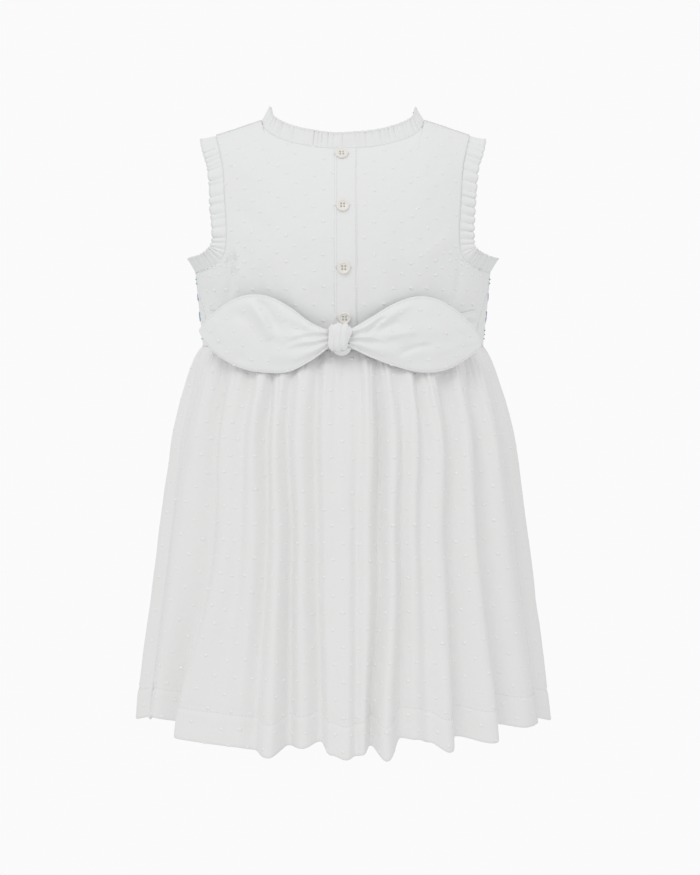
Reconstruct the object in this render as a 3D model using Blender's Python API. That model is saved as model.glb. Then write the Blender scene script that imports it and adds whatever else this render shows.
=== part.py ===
"""Sleeveless toddler dress in dotted cotton, in its worn form with no wearer.

The frame is +Z up, with the back of the dress towards -Y and the wearer's right side towards +X.
The origin is midway between the two points where the shoulder seams meet the neck.
The body form gives every panel its curve, and each piece of cloth is a wall of even thickness on it.
"""

import math
from collections import namedtuple

import bmesh
import bpy
import numpy as np
from mathutils import Vector

MM = 0.001

# Cloth and seams
WALL = 1.2 * MM
HEM_WALL = 2.0 * MM
FRILL_WALL = 1.2 * MM
SEAM_GAP = 0.3 * MM

# Neck, shoulders and armholes
NECK_HALF_WIDTH = 65 * MM
NECK_POINT_Z = -1.6 * MM
BACK_NECK_DROP = 24.4 * MM
FRONT_NECK_DROP = 49 * MM
SHOULDER_SLOPE = 0.333
SHOULDER_TIP_X = 101 * MM
UNDERARM_Z = -118 * MM
NECK_FRILL_HEIGHT = 14 * MM
ARMHOLE_FRILL_WIDTH = 14 * MM
FRILL_RIPPLE = 1.3 * MM

# Waist, hem and side seams
WAIST_Z = -182 * MM
HEM_Z = -487 * MM
HEM_DEPTH = 24 * MM
WAIST_SEAM_ANGLE = math.radians(68)
GATHER_RELIEF = 0.9 * MM

# Back opening
BAND_LEFT_X = -6.5 * MM
BAND_RIGHT_X = 11 * MM
UNDER_BAND_REACH = 3 * MM
BUTTON_RADIUS = 5 * MM
BUTTON_THICKNESS = 2.2 * MM
BUTTON_HOLE_RADIUS = 0.65 * MM
BUTTON_HOLE_OFFSET = 1.15 * MM

# Sash
SASH_WALL = 1.2 * MM
STRAP_START_ANGLE = math.radians(66)
STRAP_END_FROM_KNOT = 4 * MM
STRAP_LIFT = 5.4 * MM
KNOT_X = -2.6 * MM
KNOT_HALF = Vector((9.4, 6.6, 11.6)) * MM
KNOT_Y = -86 * MM
KNOT_Z = -171.5 * MM

# Rows of the body form: heights and half sizes in mm
Level = namedtuple("Level", "z half_width back_depth front_depth")
TORSO = (
    Level(20, 118, 74, 71),
    Level(-60, 118, 75, 72),
    Level(-118, 118, 76, 74),
    Level(-150, 115, 74, 77),
    Level(-182, 112, 71, 78),
)
SKIRT = (
    Level(-182, 112, 71, 78),
    Level(-190, 116, 75, 82),
    Level(-200, 119.5, 79, 86),
    Level(-217, 124, 84, 92),
    Level(-241, 130.5, 90, 98),
    Level(-290, 138, 98, 106),
    Level(-338, 144, 104, 112),
    Level(-386, 150, 109, 117),
    Level(-450, 158, 116, 124),
    Level(-490, 162, 121, 129),
)

# The armhole seam as a half distance from the middle and a height in mm, shoulder to underarm
ArmholeRow = namedtuple("ArmholeRow", "z back_x front_x")
ARMHOLE = (
    ArmholeRow(-38, 95, 94),
    ArmholeRow(-66, 92.5, 90),
    ArmholeRow(-90, 91, 89),
    ArmholeRow(-106, 92, 91),
    ArmholeRow(-113.5, 96, 96),
    ArmholeRow(-118.5, 103, 103),
    ArmholeRow(-122, 111, 111),
)
UNDERARM_POINT = (math.radians(88), -124 * MM)
SIDE_SEAM = ((math.radians(80), -139 * MM), (math.radians(73), -154 * MM), (math.radians(69), -168 * MM))

# Ridges and valleys of the skirt: angles round from the centre back in degrees at three heights,
# how far each stands out in mm just under the waist and at the hem, and how far its hem is raised.
Fold = namedtuple("Fold", "top middle hem out_top out_hem lift")
BACK_FOLDS = (
    Fold(-68.0, -71.0, -72.0, 0.0, 0.0, 12),
    Fold(-58.5, -61.5, -60.0, 2.0, 5.0, 17),
    Fold(-50.5, -47.6, -51.2, -4.0, -12.0, 14),
    Fold(-42.6, -38.8, -44.5, 2.0, 6.0, 6),
    Fold(-36.2, -33.7, -35.4, -1.0, 1.0, 5),
    Fold(-31.0, -28.6, -30.4, 4.0, 2.0, 5),
    Fold(-27.2, -24.2, -25.3, -2.5, -4.0, 3),
    Fold(-23.2, -19.8, -19.5, 1.0, 8.0, 0),
    Fold(-19.7, -16.2, -15.2, -2.0, -8.0, 7),
    Fold(-15.0, -12.3, -10.9, 3.0, 3.0, 7),
    Fold(-9.3, -7.9, -6.2, -2.0, -6.0, 11),
    Fold(-5.9, -4.4, -3.0, 2.0, 4.0, 3),
    Fold(1.4, 1.5, 1.2, 1.0, 7.0, 0),
    Fold(5.6, 4.2, 3.6, -1.0, 2.0, 2),
    Fold(9.2, 7.3, 5.4, 3.0, 5.0, 3),
    Fold(12.8, 11.3, 7.7, -4.0, -5.0, 8),
    Fold(17.2, 14.9, 11.4, 1.0, 9.0, -1),
    Fold(21.3, 18.4, 16.4, -1.5, -5.0, 13),
    Fold(25.2, 22.0, 20.6, 3.0, 0.5, 12),
    Fold(28.4, 25.4, 24.3, -2.0, -2.0, 9),
    Fold(33.6, 30.4, 29.6, 2.0, 6.0, 2),
    Fold(40.4, 35.9, 34.4, -4.0, -9.0, 10),
    Fold(47.1, 43.0, 44.6, 2.0, 7.0, 5),
    Fold(54.6, 50.7, 51.6, -4.0, -11.0, 14),
    Fold(61.5, 61.0, 62.5, 3.0, 4.0, 10),
    Fold(68.0, 71.0, 72.0, 0.0, 0.0, 8),
)
FRONT_FOLDS = (
    Fold(68.0, 71.0, 72.0, 0.0, 0.0, 8),
    Fold(79.0, 80.0, 80.0, -2.0, -6.0, 9),
    Fold(91.0, 91.0, 90.0, 2.0, 6.0, 4),
    Fold(103.0, 104.0, 104.0, -3.0, -8.0, 9),
    Fold(115.0, 117.0, 118.0, 3.0, 7.0, 2),
    Fold(126.0, 129.0, 131.0, -4.0, -9.0, 10),
    Fold(138.0, 141.0, 144.0, 3.0, 8.0, 0),
    Fold(149.0, 151.0, 154.0, -2.0, -6.0, 6),
    Fold(159.0, 161.0, 163.0, 2.0, 5.0, 2),
    Fold(169.0, 170.0, 171.0, -3.0, -8.0, 8),
    Fold(180.0, 181.0, 181.0, 3.0, 7.0, 0),
    Fold(191.0, 192.0, 193.0, -4.0, -9.0, 9),
    Fold(201.0, 202.0, 203.0, 2.0, 6.0, 2),
    Fold(211.0, 211.0, 212.0, -2.0, -5.0, 5),
    Fold(222.0, 221.0, 220.0, 3.0, 8.0, 0),
    Fold(233.0, 232.0, 230.0, -3.0, -9.0, 10),
    Fold(244.0, 243.0, 242.0, 2.0, 6.0, 3),
    Fold(257.0, 257.0, 256.0, -3.0, -8.0, 9),
    Fold(269.0, 269.0, 270.0, 2.0, 6.0, 5),
    Fold(280.0, 280.0, 280.0, -2.0, -6.0, 10),
    Fold(292.0, 289.0, 288.0, 0.0, 0.0, 12),
)
FOLD_LEVELS = (0.14, 0.52, 1.0)
VALLEY_PINCH = 1.4

# Outline of each sash end in mm: distance from the middle, upper edge, lower edge and stand-off
LeafRow = namedtuple("LeafRow", "x top bottom out")
LEFT_LEAF = (
    LeafRow(-12.3, -166, -178, 86),
    LeafRow(-25, -160, -190, 85.5),
    LeafRow(-40, -149, -198, 84),
    LeafRow(-59, -140, -199.5, 80),
    LeafRow(-82, -142, -195, 71),
    LeafRow(-98, -152, -186, 60.5),
    LeafRow(-108, -161.5, -176, 52),
    LeafRow(-112, -167, -169, 48.5),
)
RIGHT_LEAF = (
    LeafRow(7.1, -166, -178, 86),
    LeafRow(20.5, -157, -186.5, 85.5),
    LeafRow(39.5, -146, -194, 84),
    LeafRow(62.5, -140.5, -199.5, 79),
    LeafRow(82, -147.5, -197, 71),
    LeafRow(97, -160, -189, 61),
    LeafRow(105, -170, -183, 54.5),
    LeafRow(108, -177.5, -179.5, 52),
)
LEAF_LEAN = 3.0 * MM
LEAF_PLEAT = 1.6 * MM

ButtonRow = namedtuple("ButtonRow", "x z")
BUTTONS = (ButtonRow(-0.8, -31.8), ButtonRow(0, -71.5), ButtonRow(0.8, -118.4), ButtonRow(1.4, -157))

COTTON = (0.80, 0.81, 0.82)
WARM_COTTON = (0.79, 0.79, 0.78)
PEARL = (0.83, 0.78, 0.70)


def through(keys, values):
    """A smooth curve through rows of a table: cubic pieces with averaged slopes."""
    order = np.argsort(keys)
    xs = np.array(keys, float)[order]
    ys = np.array(values, float)[order]
    slopes = np.gradient(ys, xs)

    def at(x):
        x = np.clip(x, xs[0], xs[-1])
        i = np.clip(np.searchsorted(xs, x, side="right") - 1, 0, len(xs) - 2)
        step = xs[i + 1] - xs[i]
        t = (x - xs[i]) / step
        near = ys[i] * (1 + 2 * t) + slopes[i] * step * t
        far = ys[i + 1] * (3 - 2 * t) + slopes[i + 1] * step * (t - 1)
        return near * (1 - t) ** 2 + far * t * t

    return at


def form_curves(rows):
    """Half width, back depth and front depth as curves of the height."""
    heights = [row.z * MM for row in rows]
    columns = ("half_width", "back_depth", "front_depth")
    return [through(heights, [getattr(row, name) * MM for row in rows]) for name in columns]


def unit(vectors):
    return vectors / np.linalg.norm(vectors, axis=-1, keepdims=True)


def eased(share):
    return (1 - np.cos(np.pi * share)) / 2


HALF_WIDTH, BACK_DEPTH, FRONT_DEPTH = form_curves(TORSO)
SKIRT_HALF_WIDTH, SKIRT_BACK_DEPTH, SKIRT_FRONT_DEPTH = form_curves(SKIRT)


def shoulder_height(x):
    """Height of the shoulder ridge, level over the neck and falling outside it."""
    past = np.abs(x) - NECK_HALF_WIDTH
    return NECK_POINT_Z - SHOULDER_SLOPE * (np.hypot(past, 2 * MM) + past) / 2


def closing(x, z):
    """How far a height is from the underarm (0) to the shoulder ridge (1)."""
    return np.maximum(z - UNDERARM_Z, 0) / (shoulder_height(x) - UNDERARM_Z)


def body_point(angle, z):
    """A point of the body form, at an angle round from the centre back."""
    x = HALF_WIDTH(z) * np.sin(angle)
    depth = np.where(np.cos(angle) > 0, BACK_DEPTH(z), FRONT_DEPTH(z))
    y = -depth * np.cos(angle) * np.sqrt(np.maximum(1 - closing(x, z) ** 2, 0))
    return np.stack([x, y, z + 0 * x], axis=-1)


def body_level(points):
    """Zero on the body form and more outside it."""
    x, y, z = np.moveaxis(points, -1, 0)
    depth = np.where(y < 0, BACK_DEPTH(z), FRONT_DEPTH(z))
    return (y / depth) ** 2 - (1 - (x / HALF_WIDTH(z)) ** 2) * (1 - closing(x, z) ** 2)


def body_normal(points):
    """Outward direction of the body form at points on it."""
    step = 0.02 * MM
    gradient = [body_level(points + step * axis) - body_level(points - step * axis) for axis in np.eye(3)]
    return unit(np.stack(gradient, axis=-1))


def angle_of(x, z):
    return np.arcsin(np.clip(x / HALF_WIDTH(z), -1, 1))


def neck_height(x, drop):
    return NECK_POINT_Z - drop * np.sqrt(np.maximum(1 - (x / NECK_HALF_WIDTH) ** 2, 0))


def patch(top, bottom, inner, outer):
    """Points of a four-sided panel worked out from its four edges, each a list of angles and heights."""
    top, bottom, inner, outer = (np.array(edge, float) for edge in (top, bottom, inner, outer))
    u = np.linspace(0, 1, len(top))[None, :, None]
    v = np.linspace(0, 1, len(inner))[:, None, None]
    ruled = (1 - v) * top[None] + v * bottom[None] + (1 - u) * inner[:, None] + u * outer[:, None]
    corners = (1 - v) * ((1 - u) * top[0] + u * top[-1]) + v * ((1 - u) * bottom[0] + u * bottom[-1])
    return ruled - corners


NECK_STEPS = 5
SHOULDER_STEPS = 3
ARMHOLE_STEPS = len(ARMHOLE) + 1
SIDE_STEPS = len(SIDE_SEAM) + 1
WAIST_EDGE_Z = WAIST_Z + SEAM_GAP / 2


def half_panel(inner_x, front):
    """Angles and heights of half a bodice panel, from its inner edge to the side seam."""
    drop = FRONT_NECK_DROP if front else BACK_NECK_DROP
    turns = np.linspace(math.asin(inner_x / NECK_HALF_WIDTH), math.pi / 2, NECK_STEPS + 1)
    neck_x = NECK_HALF_WIDTH * np.sin(turns)
    shoulder_x = np.linspace(NECK_HALF_WIDTH, SHOULDER_TIP_X, SHOULDER_STEPS + 1)[1:]
    top_x = np.concatenate([neck_x, shoulder_x])
    top_z = np.concatenate([neck_height(neck_x, drop), shoulder_height(shoulder_x)])
    top_z = np.minimum(top_z, shoulder_height(top_x))
    side = [(angle_of(SHOULDER_TIP_X, top_z[-1]), top_z[-1])]
    for row in ARMHOLE:
        x = (row.front_x if front else row.back_x) * MM
        side.append((angle_of(x, row.z * MM), row.z * MM))
    seam = [UNDERARM_POINT, *SIDE_SEAM, (WAIST_SEAM_ANGLE, WAIST_EDGE_Z)]
    side += [(math.pi - angle, z) if front else (angle, z) for angle, z in seam]
    inner_z = np.linspace(top_z[0], WAIST_EDGE_Z, ARMHOLE_STEPS + SIDE_STEPS + 1)
    waist_angles = np.linspace(angle_of(inner_x, WAIST_EDGE_Z), side[-1][0], len(top_x))
    top = np.stack([angle_of(top_x, top_z), top_z], axis=-1)
    inner = np.stack([angle_of(inner_x + 0 * inner_z, inner_z), inner_z], axis=-1)
    bottom = np.stack([waist_angles, WAIST_EDGE_Z + 0 * waist_angles], axis=-1)
    outer = np.array(side)
    grid = patch(top, bottom, inner, outer)
    if front:
        grid[..., 0] = math.pi - grid[..., 0]
    return grid


def panel_points(grid, front):
    """Outer points and outward directions of a bodice panel, drawn in from its seams by half a gap."""
    points = body_point(grid[..., 0], grid[..., 1])
    points[0, NECK_STEPS:, 1] = 0
    normals = body_normal(points)
    shoulder_shift = SEAM_GAP / 2 if front else -SEAM_GAP / 2
    points[0, NECK_STEPS:, 1] += shoulder_shift
    seam = slice(ARMHOLE_STEPS, None)
    points[seam, -1] += SEAM_GAP / 2 * unit(points[seam, -2] - points[seam, -1])
    return points, normals


def mirrored(points):
    return points * np.array([-1, 1, 1])


def new_object(name, mesh, colour, roughness, at=(0, 0, 0)):
    """Gives a mesh its object, its own material and its place."""
    mesh.name = name
    material = bpy.data.materials.new(name)
    material.use_nodes = True
    shader = next(node for node in material.node_tree.nodes if node.type == "BSDF_PRINCIPLED")
    shader.inputs["Base Color"].default_value = (*colour, 1)
    shader.inputs["Roughness"].default_value = roughness
    shader.inputs["Metallic"].default_value = 0
    mesh.materials.append(material)
    piece = bpy.data.objects.new(name, mesh)
    piece.location = at
    bpy.context.scene.collection.objects.link(piece)
    return piece


def grid_faces(rows, columns, closed, offset=0):
    """Four-cornered faces of a grid of vertices, joined round its columns when it is closed."""
    faces = []
    for row in range(rows - 1):
        for column in range(columns if closed else columns - 1):
            after = (column + 1) % columns
            low, high = offset + row * columns, offset + (row + 1) * columns
            faces.append((low + column, low + after, high + after, high + column))
    return faces


def finished_mesh(name, vertices, faces):
    """A mesh whose faces all point outwards."""
    mesh = bpy.data.meshes.new(name)
    mesh.from_pydata([tuple(map(float, vertex)) for vertex in vertices], [], faces)
    work = bmesh.new()
    work.from_mesh(mesh)
    bmesh.ops.recalc_face_normals(work, faces=work.faces)
    bmesh.ops.triangulate(work, faces=work.faces, quad_method="SHORT_EDGE")
    work.to_mesh(mesh)
    work.free()
    mesh.polygons.foreach_set("use_smooth", [True] * len(mesh.polygons))
    return mesh


def wall_mesh(name, outer, inner, at):
    """A closed wall between an outer and an inner grid of points, with a rim all round."""
    rows, columns = outer.shape[:2]
    count = rows * columns
    vertices = np.concatenate([outer.reshape(-1, 3), inner.reshape(-1, 3)]) - np.array(at)
    faces = grid_faces(rows, columns, False)
    faces += [tuple(reversed(face)) for face in grid_faces(rows, columns, False, count)]
    rim = list(range(columns))
    rim += [row * columns + columns - 1 for row in range(1, rows)]
    rim += [(rows - 1) * columns + column for column in range(columns - 2, -1, -1)]
    rim += [row * columns for row in range(rows - 2, 0, -1)]
    for here, after in zip(rim, rim[1:] + rim[:1]):
        faces.append((after, here, here + count, after + count))
    return finished_mesh(name, vertices, faces)


def cloth_wall(name, points, normals, thickness, colour, at=(0, 0, 0)):
    """A panel of cloth whose wall lies inside its outer points."""
    inner = points - normals * np.asarray(thickness)
    return new_object(name, wall_mesh(name, points, inner, at), colour, 0.9, at)


def sheet_wall(name, points, thickness, colour, closed=False, at=(0, 0, 0)):
    """A sheet of cloth through a grid of points, given its thickness by a solidify modifier."""
    rows, columns = points.shape[:2]
    vertices = points.reshape(-1, 3) - np.array(at)
    mesh = bpy.data.meshes.new(name)
    mesh.from_pydata([tuple(map(float, vertex)) for vertex in vertices], [], grid_faces(rows, columns, closed))
    mesh.polygons.foreach_set("use_smooth", [True] * len(mesh.polygons))
    piece = new_object(name, mesh, colour, 0.9, at)
    solidify = piece.modifiers.new("cloth", "SOLIDIFY")
    solidify.thickness = thickness
    solidify.offset = 0
    return piece


# --- Bodice --------------------------------------------------------------------------------------


def build_bodice():
    """The two backs, the front and the two bands of the back opening."""
    edges = {}
    for name, inner_x, side in (
        ("bodice_back_right", BAND_RIGHT_X + SEAM_GAP / 2, 1),
        ("bodice_back_left", -BAND_LEFT_X + SEAM_GAP / 2, -1),
    ):
        points, normals = panel_points(half_panel(inner_x, False), False)
        if side < 0:
            points, normals = mirrored(points), mirrored(normals)
        cloth_wall(name, points, normals, WALL, COTTON)
        edges[name] = (points, normals)
    points, normals = panel_points(half_panel(0, True), True)
    whole = np.concatenate([mirrored(points)[:, :0:-1], points], axis=1)
    whole_normals = np.concatenate([mirrored(normals)[:, :0:-1], normals], axis=1)
    cloth_wall("bodice_front", whole, whole_normals, WALL, COTTON)
    edges["bodice_front"] = (points, normals)
    return edges


def build_bands():
    """The buttonhole band, and the button band that lies under it."""
    rows = ARMHOLE_STEPS + SIDE_STEPS + 1
    bands = (
        ("placket_buttonhole_band", BAND_LEFT_X, BAND_RIGHT_X - SEAM_GAP / 2, 0, 4),
        ("placket_button_band", BAND_LEFT_X + SEAM_GAP, BAND_RIGHT_X + UNDER_BAND_REACH, WALL + SEAM_GAP, 4),
    )
    results = {}
    for name, left, right, depth, columns in bands:
        x = np.linspace(left, right, columns)
        tops = neck_height(x, BACK_NECK_DROP)
        z = tops[None, :] + np.linspace(0, 1, rows)[:, None] * (WAIST_EDGE_Z - tops[None, :])
        points = body_point(angle_of(x[None, :], z), z)
        normals = body_normal(points)
        cloth_wall(name, points - normals * depth, normals, WALL, COTTON)
        results[name] = (points, normals)
    return results


# --- Frills --------------------------------------------------------------------------------------


def finer(values, steps):
    """Adds evenly spaced values between those of a list."""
    keys = np.arange(len(values))
    wanted = np.linspace(0, len(values) - 1, (len(values) - 1) * steps + 1)
    return np.stack([np.interp(wanted, keys, values[:, i]) for i in range(values.shape[1])], axis=-1)


def frill_points(roots, normals, away, width, waves):
    """A gathered strip: flat where it is sewn, with ripples that grow towards its free edge."""
    share = np.array([0.0, 0.45, 1.0])[:, None, None]
    phase = np.linspace(0, waves * 2 * np.pi, len(roots))
    uneven = 1 + 0.25 * np.sin(phase * 0.31) + 0.2 * np.sin(phase * 0.17 + 1)
    ripple = (FRILL_RIPPLE * np.cos(phase) * uneven)[None, :, None]
    return roots[None] + share * width * away[None] + share * ripple * normals[None]


def build_armhole_frill(name, back, front, side):
    """A frill round one armhole, made from the edge points of the back and the front."""
    count = ARMHOLE_STEPS + 1
    points = np.concatenate([back[0][:count, -1], front[0][count - 1 :: -1, -1]])
    normals = np.concatenate([back[1][:count, -1], front[1][count - 1 :: -1, -1]])
    keep = [i for i in range(len(points)) if i != count]
    points, normals = points[keep], normals[keep]
    points[count - 1] = (points[count - 1] + front[0][count - 1, -1]) / 2
    points[0] = (points[0] + points[-1]) / 2
    points, normals = points[:-1], normals[:-1]
    ring_points = np.concatenate([points, points[:1]])
    ring_normals = np.concatenate([normals, normals[:1]])
    along = unit(np.roll(points, -1, axis=0) - np.roll(points, 1, axis=0))
    away = unit(np.cross(normals, along)) * side
    ring_away = np.concatenate([away, away[:1]])
    steps = 4
    ring = finer(ring_points, steps)[:-1]
    directions = unit(finer(ring_normals, steps)[:-1])
    outward = unit(finer(ring_away, steps)[:-1])
    lean = unit(outward + 0.12 * directions)
    roots = ring - directions * WALL / 2 + outward * (SEAM_GAP + 0.55 * MM)
    waves = len(ring) // 2
    strip = frill_points(roots, directions, lean, ARMHOLE_FRILL_WIDTH, waves)
    return sheet_wall(name, strip, FRILL_WALL, COTTON, closed=True)


def build_neck_frill(edges, bands):
    """A frill round the neck, open at the edge of the buttonhole band."""
    top = slice(0, NECK_STEPS + 1)
    right_back = [part[0, top] for part in edges["bodice_back_right"]]
    left_back = [part[0, top][::-1] for part in edges["bodice_back_left"]]
    right_front = [part[0, top][::-1] for part in edges["bodice_front"]]
    left_front = [mirrored(part[0, top]) for part in edges["bodice_front"]]
    band = [part[0] for part in bands["placket_buttonhole_band"]]
    chain = [right_back, right_front, left_front, left_back, band]
    points = np.concatenate([part[0][:-1] if i < 4 else part[0] for i, part in enumerate(chain)])
    normals = np.concatenate([part[1][:-1] if i < 4 else part[1] for i, part in enumerate(chain)])
    for turn in (NECK_STEPS, 3 * NECK_STEPS):
        points[turn, 1] = 0
    points[0, 0] += SEAM_GAP
    along = unit(np.gradient(points, axis=0))
    away = unit(np.cross(normals, along))
    steps = 3
    ring, directions, inward = finer(points, steps), unit(finer(normals, steps)), unit(finer(away, steps))
    rise = unit(0.55 * inward + np.array([0, 0, 0.75]))
    roots = ring - directions * WALL / 2 + inward * (SEAM_GAP + 0.45 * MM)
    across = unit(np.cross(rise, unit(np.gradient(ring, axis=0))))
    strip = frill_points(roots, across, rise, NECK_FRILL_HEIGHT, len(ring) // 2)
    return sheet_wall("neck_frill", strip, FRILL_WALL, COTTON)


# --- Skirt ---------------------------------------------------------------------------------------

SKIRT_LEVELS = (0.0, 0.04, 0.12, 0.27, 0.5, 0.74)
FOLD_STEPS = 3


def fold_table(folds):
    """Columns of the fold rows as arrays, angles in radians and lengths in metres."""
    columns = np.array(folds, float).T
    return np.radians(columns[:3]), columns[3:5] * MM, columns[5] * MM


def skirt_points(folds, place, drop):
    """Points of the skirt: place counts along the fold rows, drop runs from the waist to the hem."""
    angles, outs, lifts = fold_table(folds)
    low = np.clip(np.floor(place).astype(int), 0, len(folds) - 2)
    share = place - low
    falls = outs[1][low] > outs[1][low + 1]
    ease = np.where(falls, eased(share**VALLEY_PINCH), 1 - eased((1 - share) ** VALLEY_PINCH))

    def between(column, weight):
        return column[low] * (1 - weight) + column[low + 1] * weight

    top, middle, hem = (between(column, share) for column in angles)
    upper = np.clip((drop - FOLD_LEVELS[0]) / (FOLD_LEVELS[1] - FOLD_LEVELS[0]), 0, 1)
    lower = np.clip((drop - FOLD_LEVELS[1]) / (FOLD_LEVELS[2] - FOLD_LEVELS[1]), 0, 1)
    angle = top + (middle - top) * eased(upper) + (hem - middle) * eased(lower)
    out_top, out_hem = (between(column, ease) for column in outs)
    grown = np.clip(drop / FOLD_LEVELS[0], 0, 1) ** 0.7
    relief = out_top * grown * (1 - drop) + out_hem * drop
    relief = relief + GATHER_RELIEF * np.cos(2 * np.pi * place) * np.sin(np.pi * np.clip(drop / 0.27, 0, 1))
    start = WAIST_Z - SEAM_GAP / 2
    z = start + (HEM_Z + between(lifts, ease) - start) * drop
    back = np.cos(angle) > 0
    depth = np.where(back, SKIRT_BACK_DEPTH(z), SKIRT_FRONT_DEPTH(z))
    width = SKIRT_HALF_WIDTH(z)
    sideways = np.sin(angle) * depth
    lengthways = np.cos(angle) * width
    size = np.hypot(sideways, lengthways)
    x = width * np.sin(angle) + relief * sideways / size
    y = -depth * np.cos(angle) - relief * lengthways / size
    return np.stack([x, y, z], axis=-1)


def build_skirt_panel(name, folds):
    """A gathered skirt panel with a double turned-up hem inside it."""
    hem_line = 1 - HEM_DEPTH / (WAIST_Z - HEM_Z)
    levels = [*SKIRT_LEVELS, hem_line - 0.003, hem_line + 0.003, 1.0]
    places = np.linspace(0, len(folds) - 1, FOLD_STEPS * (len(folds) - 1) + 1)
    place, drop = np.meshgrid(places, np.array(levels))
    points = skirt_points(folds, place, drop)
    step = 0.01
    along = skirt_points(folds, np.minimum(place + step, len(folds) - 1), drop)
    along = along - skirt_points(folds, np.maximum(place - step, 0), drop)
    down = skirt_points(folds, place, np.minimum(drop + step, 1)) - skirt_points(
        folds, place, np.maximum(drop - step, 0)
    )
    normals = unit(np.cross(down, along))
    normals[0, :, 2] = 0
    normals[0] = unit(normals[0])
    points[:, 0] += SEAM_GAP / 2 * unit(points[:, 1] - points[:, 0])
    points[:, -1] += SEAM_GAP / 2 * unit(points[:, -2] - points[:, -1])
    thickness = np.where(drop > hem_line, HEM_WALL, WALL)[..., None]
    return cloth_wall(name, points, normals, thickness, WARM_COTTON, at=(0, 0, WAIST_Z))


# --- Sash ----------------------------------------------------------------------------------------


def build_strap(name, side):
    """One side of the sash, from the side seam to the knot, narrowing as it is drawn together."""
    run = np.linspace(0, 1, 12)[None, :]
    across = np.linspace(-1, 1, 4)[:, None]
    end = math.asin((KNOT_X * side + STRAP_END_FROM_KNOT) / HALF_WIDTH(KNOT_Z))
    angle = STRAP_START_ANGLE + (end - STRAP_START_ANGLE) * run
    middle = -166 * MM + (KNOT_Z + 166 * MM) * eased(run)
    half = (13.5 - 8.5 * eased(run)) * MM
    z = middle - across * half
    lift = SEAM_GAP + 0.5 * MM + STRAP_LIFT * np.clip((run - 0.55) / 0.45, 0, 1) ** 2
    points = body_point(angle + 0 * z, z)
    normals = body_normal(points)
    points = points + normals * (lift + SASH_WALL)[..., None]
    if side < 0:
        points, normals = mirrored(points), mirrored(normals)
    return cloth_wall(name, points, normals, SASH_WALL, WARM_COTTON)


def build_leaf(name, rows):
    """One leaf-shaped sash end, pleated at the knot and smooth towards its tip."""
    xs = [row.x for row in rows]
    run = np.linspace(0, 1, 13) ** 0.9
    x = xs[0] + (xs[-1] - xs[0]) * run
    top = through(xs, [row.top for row in rows])(x) * MM
    bottom = through(xs, [row.bottom for row in rows])(x) * MM
    out = through(xs, [row.out for row in rows])(x) * MM
    across = np.linspace(-1, 1, 7)[:, None]
    z = (top + bottom) / 2 - across * (top - bottom) / 2
    near = (1 - run) ** 1.5 * np.minimum(1, run * 6 + 0.25)
    pleat = LEAF_PLEAT * np.cos(3 * np.pi * across) * near
    belly = 2.5 * MM * (1 - across**2) * np.sin(np.pi * run)
    y = -(out + LEAF_LEAN * across * np.sin(np.pi * run) + pleat + belly)
    points = np.stack([x * MM + 0 * z, y, z], axis=-1)
    if x[-1] < 0:
        points = points[:, ::-1]
    at = (KNOT_X, KNOT_Y, KNOT_Z)
    return sheet_wall(name, points, SASH_WALL, WARM_COTTON, at=at)


def build_knot():
    """The tight bundle where the sash is tied: a rounded block with furrows across it."""
    turns, rings = 20, 9
    vertices = []
    for ring in range(1, rings):
        tilt = math.pi * ring / rings
        for turn in range(turns):
            round_angle = 2 * math.pi * turn / turns
            shape = np.array(
                [
                    math.copysign(abs(math.cos(tilt)) ** 0.55, math.cos(tilt)),
                    math.sin(tilt) ** 0.7 * math.sin(round_angle),
                    math.sin(tilt) ** 0.7 * math.cos(round_angle),
                ]
            )
            furrow = 1 - 0.07 * math.sin(tilt) * (1 + math.cos(4 * tilt + round_angle))
            scale = np.array([1, furrow, furrow])
            vertices.append(shape * scale * np.array(KNOT_HALF))
    ends = [np.array([KNOT_HALF.x, 0, 0]), np.array([-KNOT_HALF.x, 0, 0])]
    vertices += ends
    faces = grid_faces(rings - 1, turns, True)
    first, last = len(vertices) - 2, len(vertices) - 1
    for turn in range(turns):
        after = (turn + 1) % turns
        faces.append((first, after, turn))
        faces.append((last, (rings - 2) * turns + turn, (rings - 2) * turns + after))
    mesh = finished_mesh("sash_knot", vertices, faces)
    return new_object("sash_knot", mesh, WARM_COTTON, 0.9, (KNOT_X, KNOT_Y, KNOT_Z))


# --- Buttons -------------------------------------------------------------------------------------


def hole_cutter(name):
    """Four short rods that cut the holes of a button."""
    work = bmesh.new()
    for across in (-BUTTON_HOLE_OFFSET, BUTTON_HOLE_OFFSET):
        for up in (-BUTTON_HOLE_OFFSET, BUTTON_HOLE_OFFSET):
            rod = bmesh.ops.create_cone(
                work,
                cap_ends=True,
                segments=8,
                radius1=BUTTON_HOLE_RADIUS,
                radius2=BUTTON_HOLE_RADIUS,
                depth=4 * BUTTON_THICKNESS,
            )
            bmesh.ops.translate(work, verts=rod["verts"], vec=(across, up, BUTTON_THICKNESS / 2))
    mesh = bpy.data.meshes.new(name)
    work.to_mesh(mesh)
    work.free()
    cutter = bpy.data.objects.new(name, mesh)
    cutter.hide_render = True
    cutter.display_type = "WIRE"
    bpy.context.scene.collection.objects.link(cutter)
    return cutter


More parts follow.
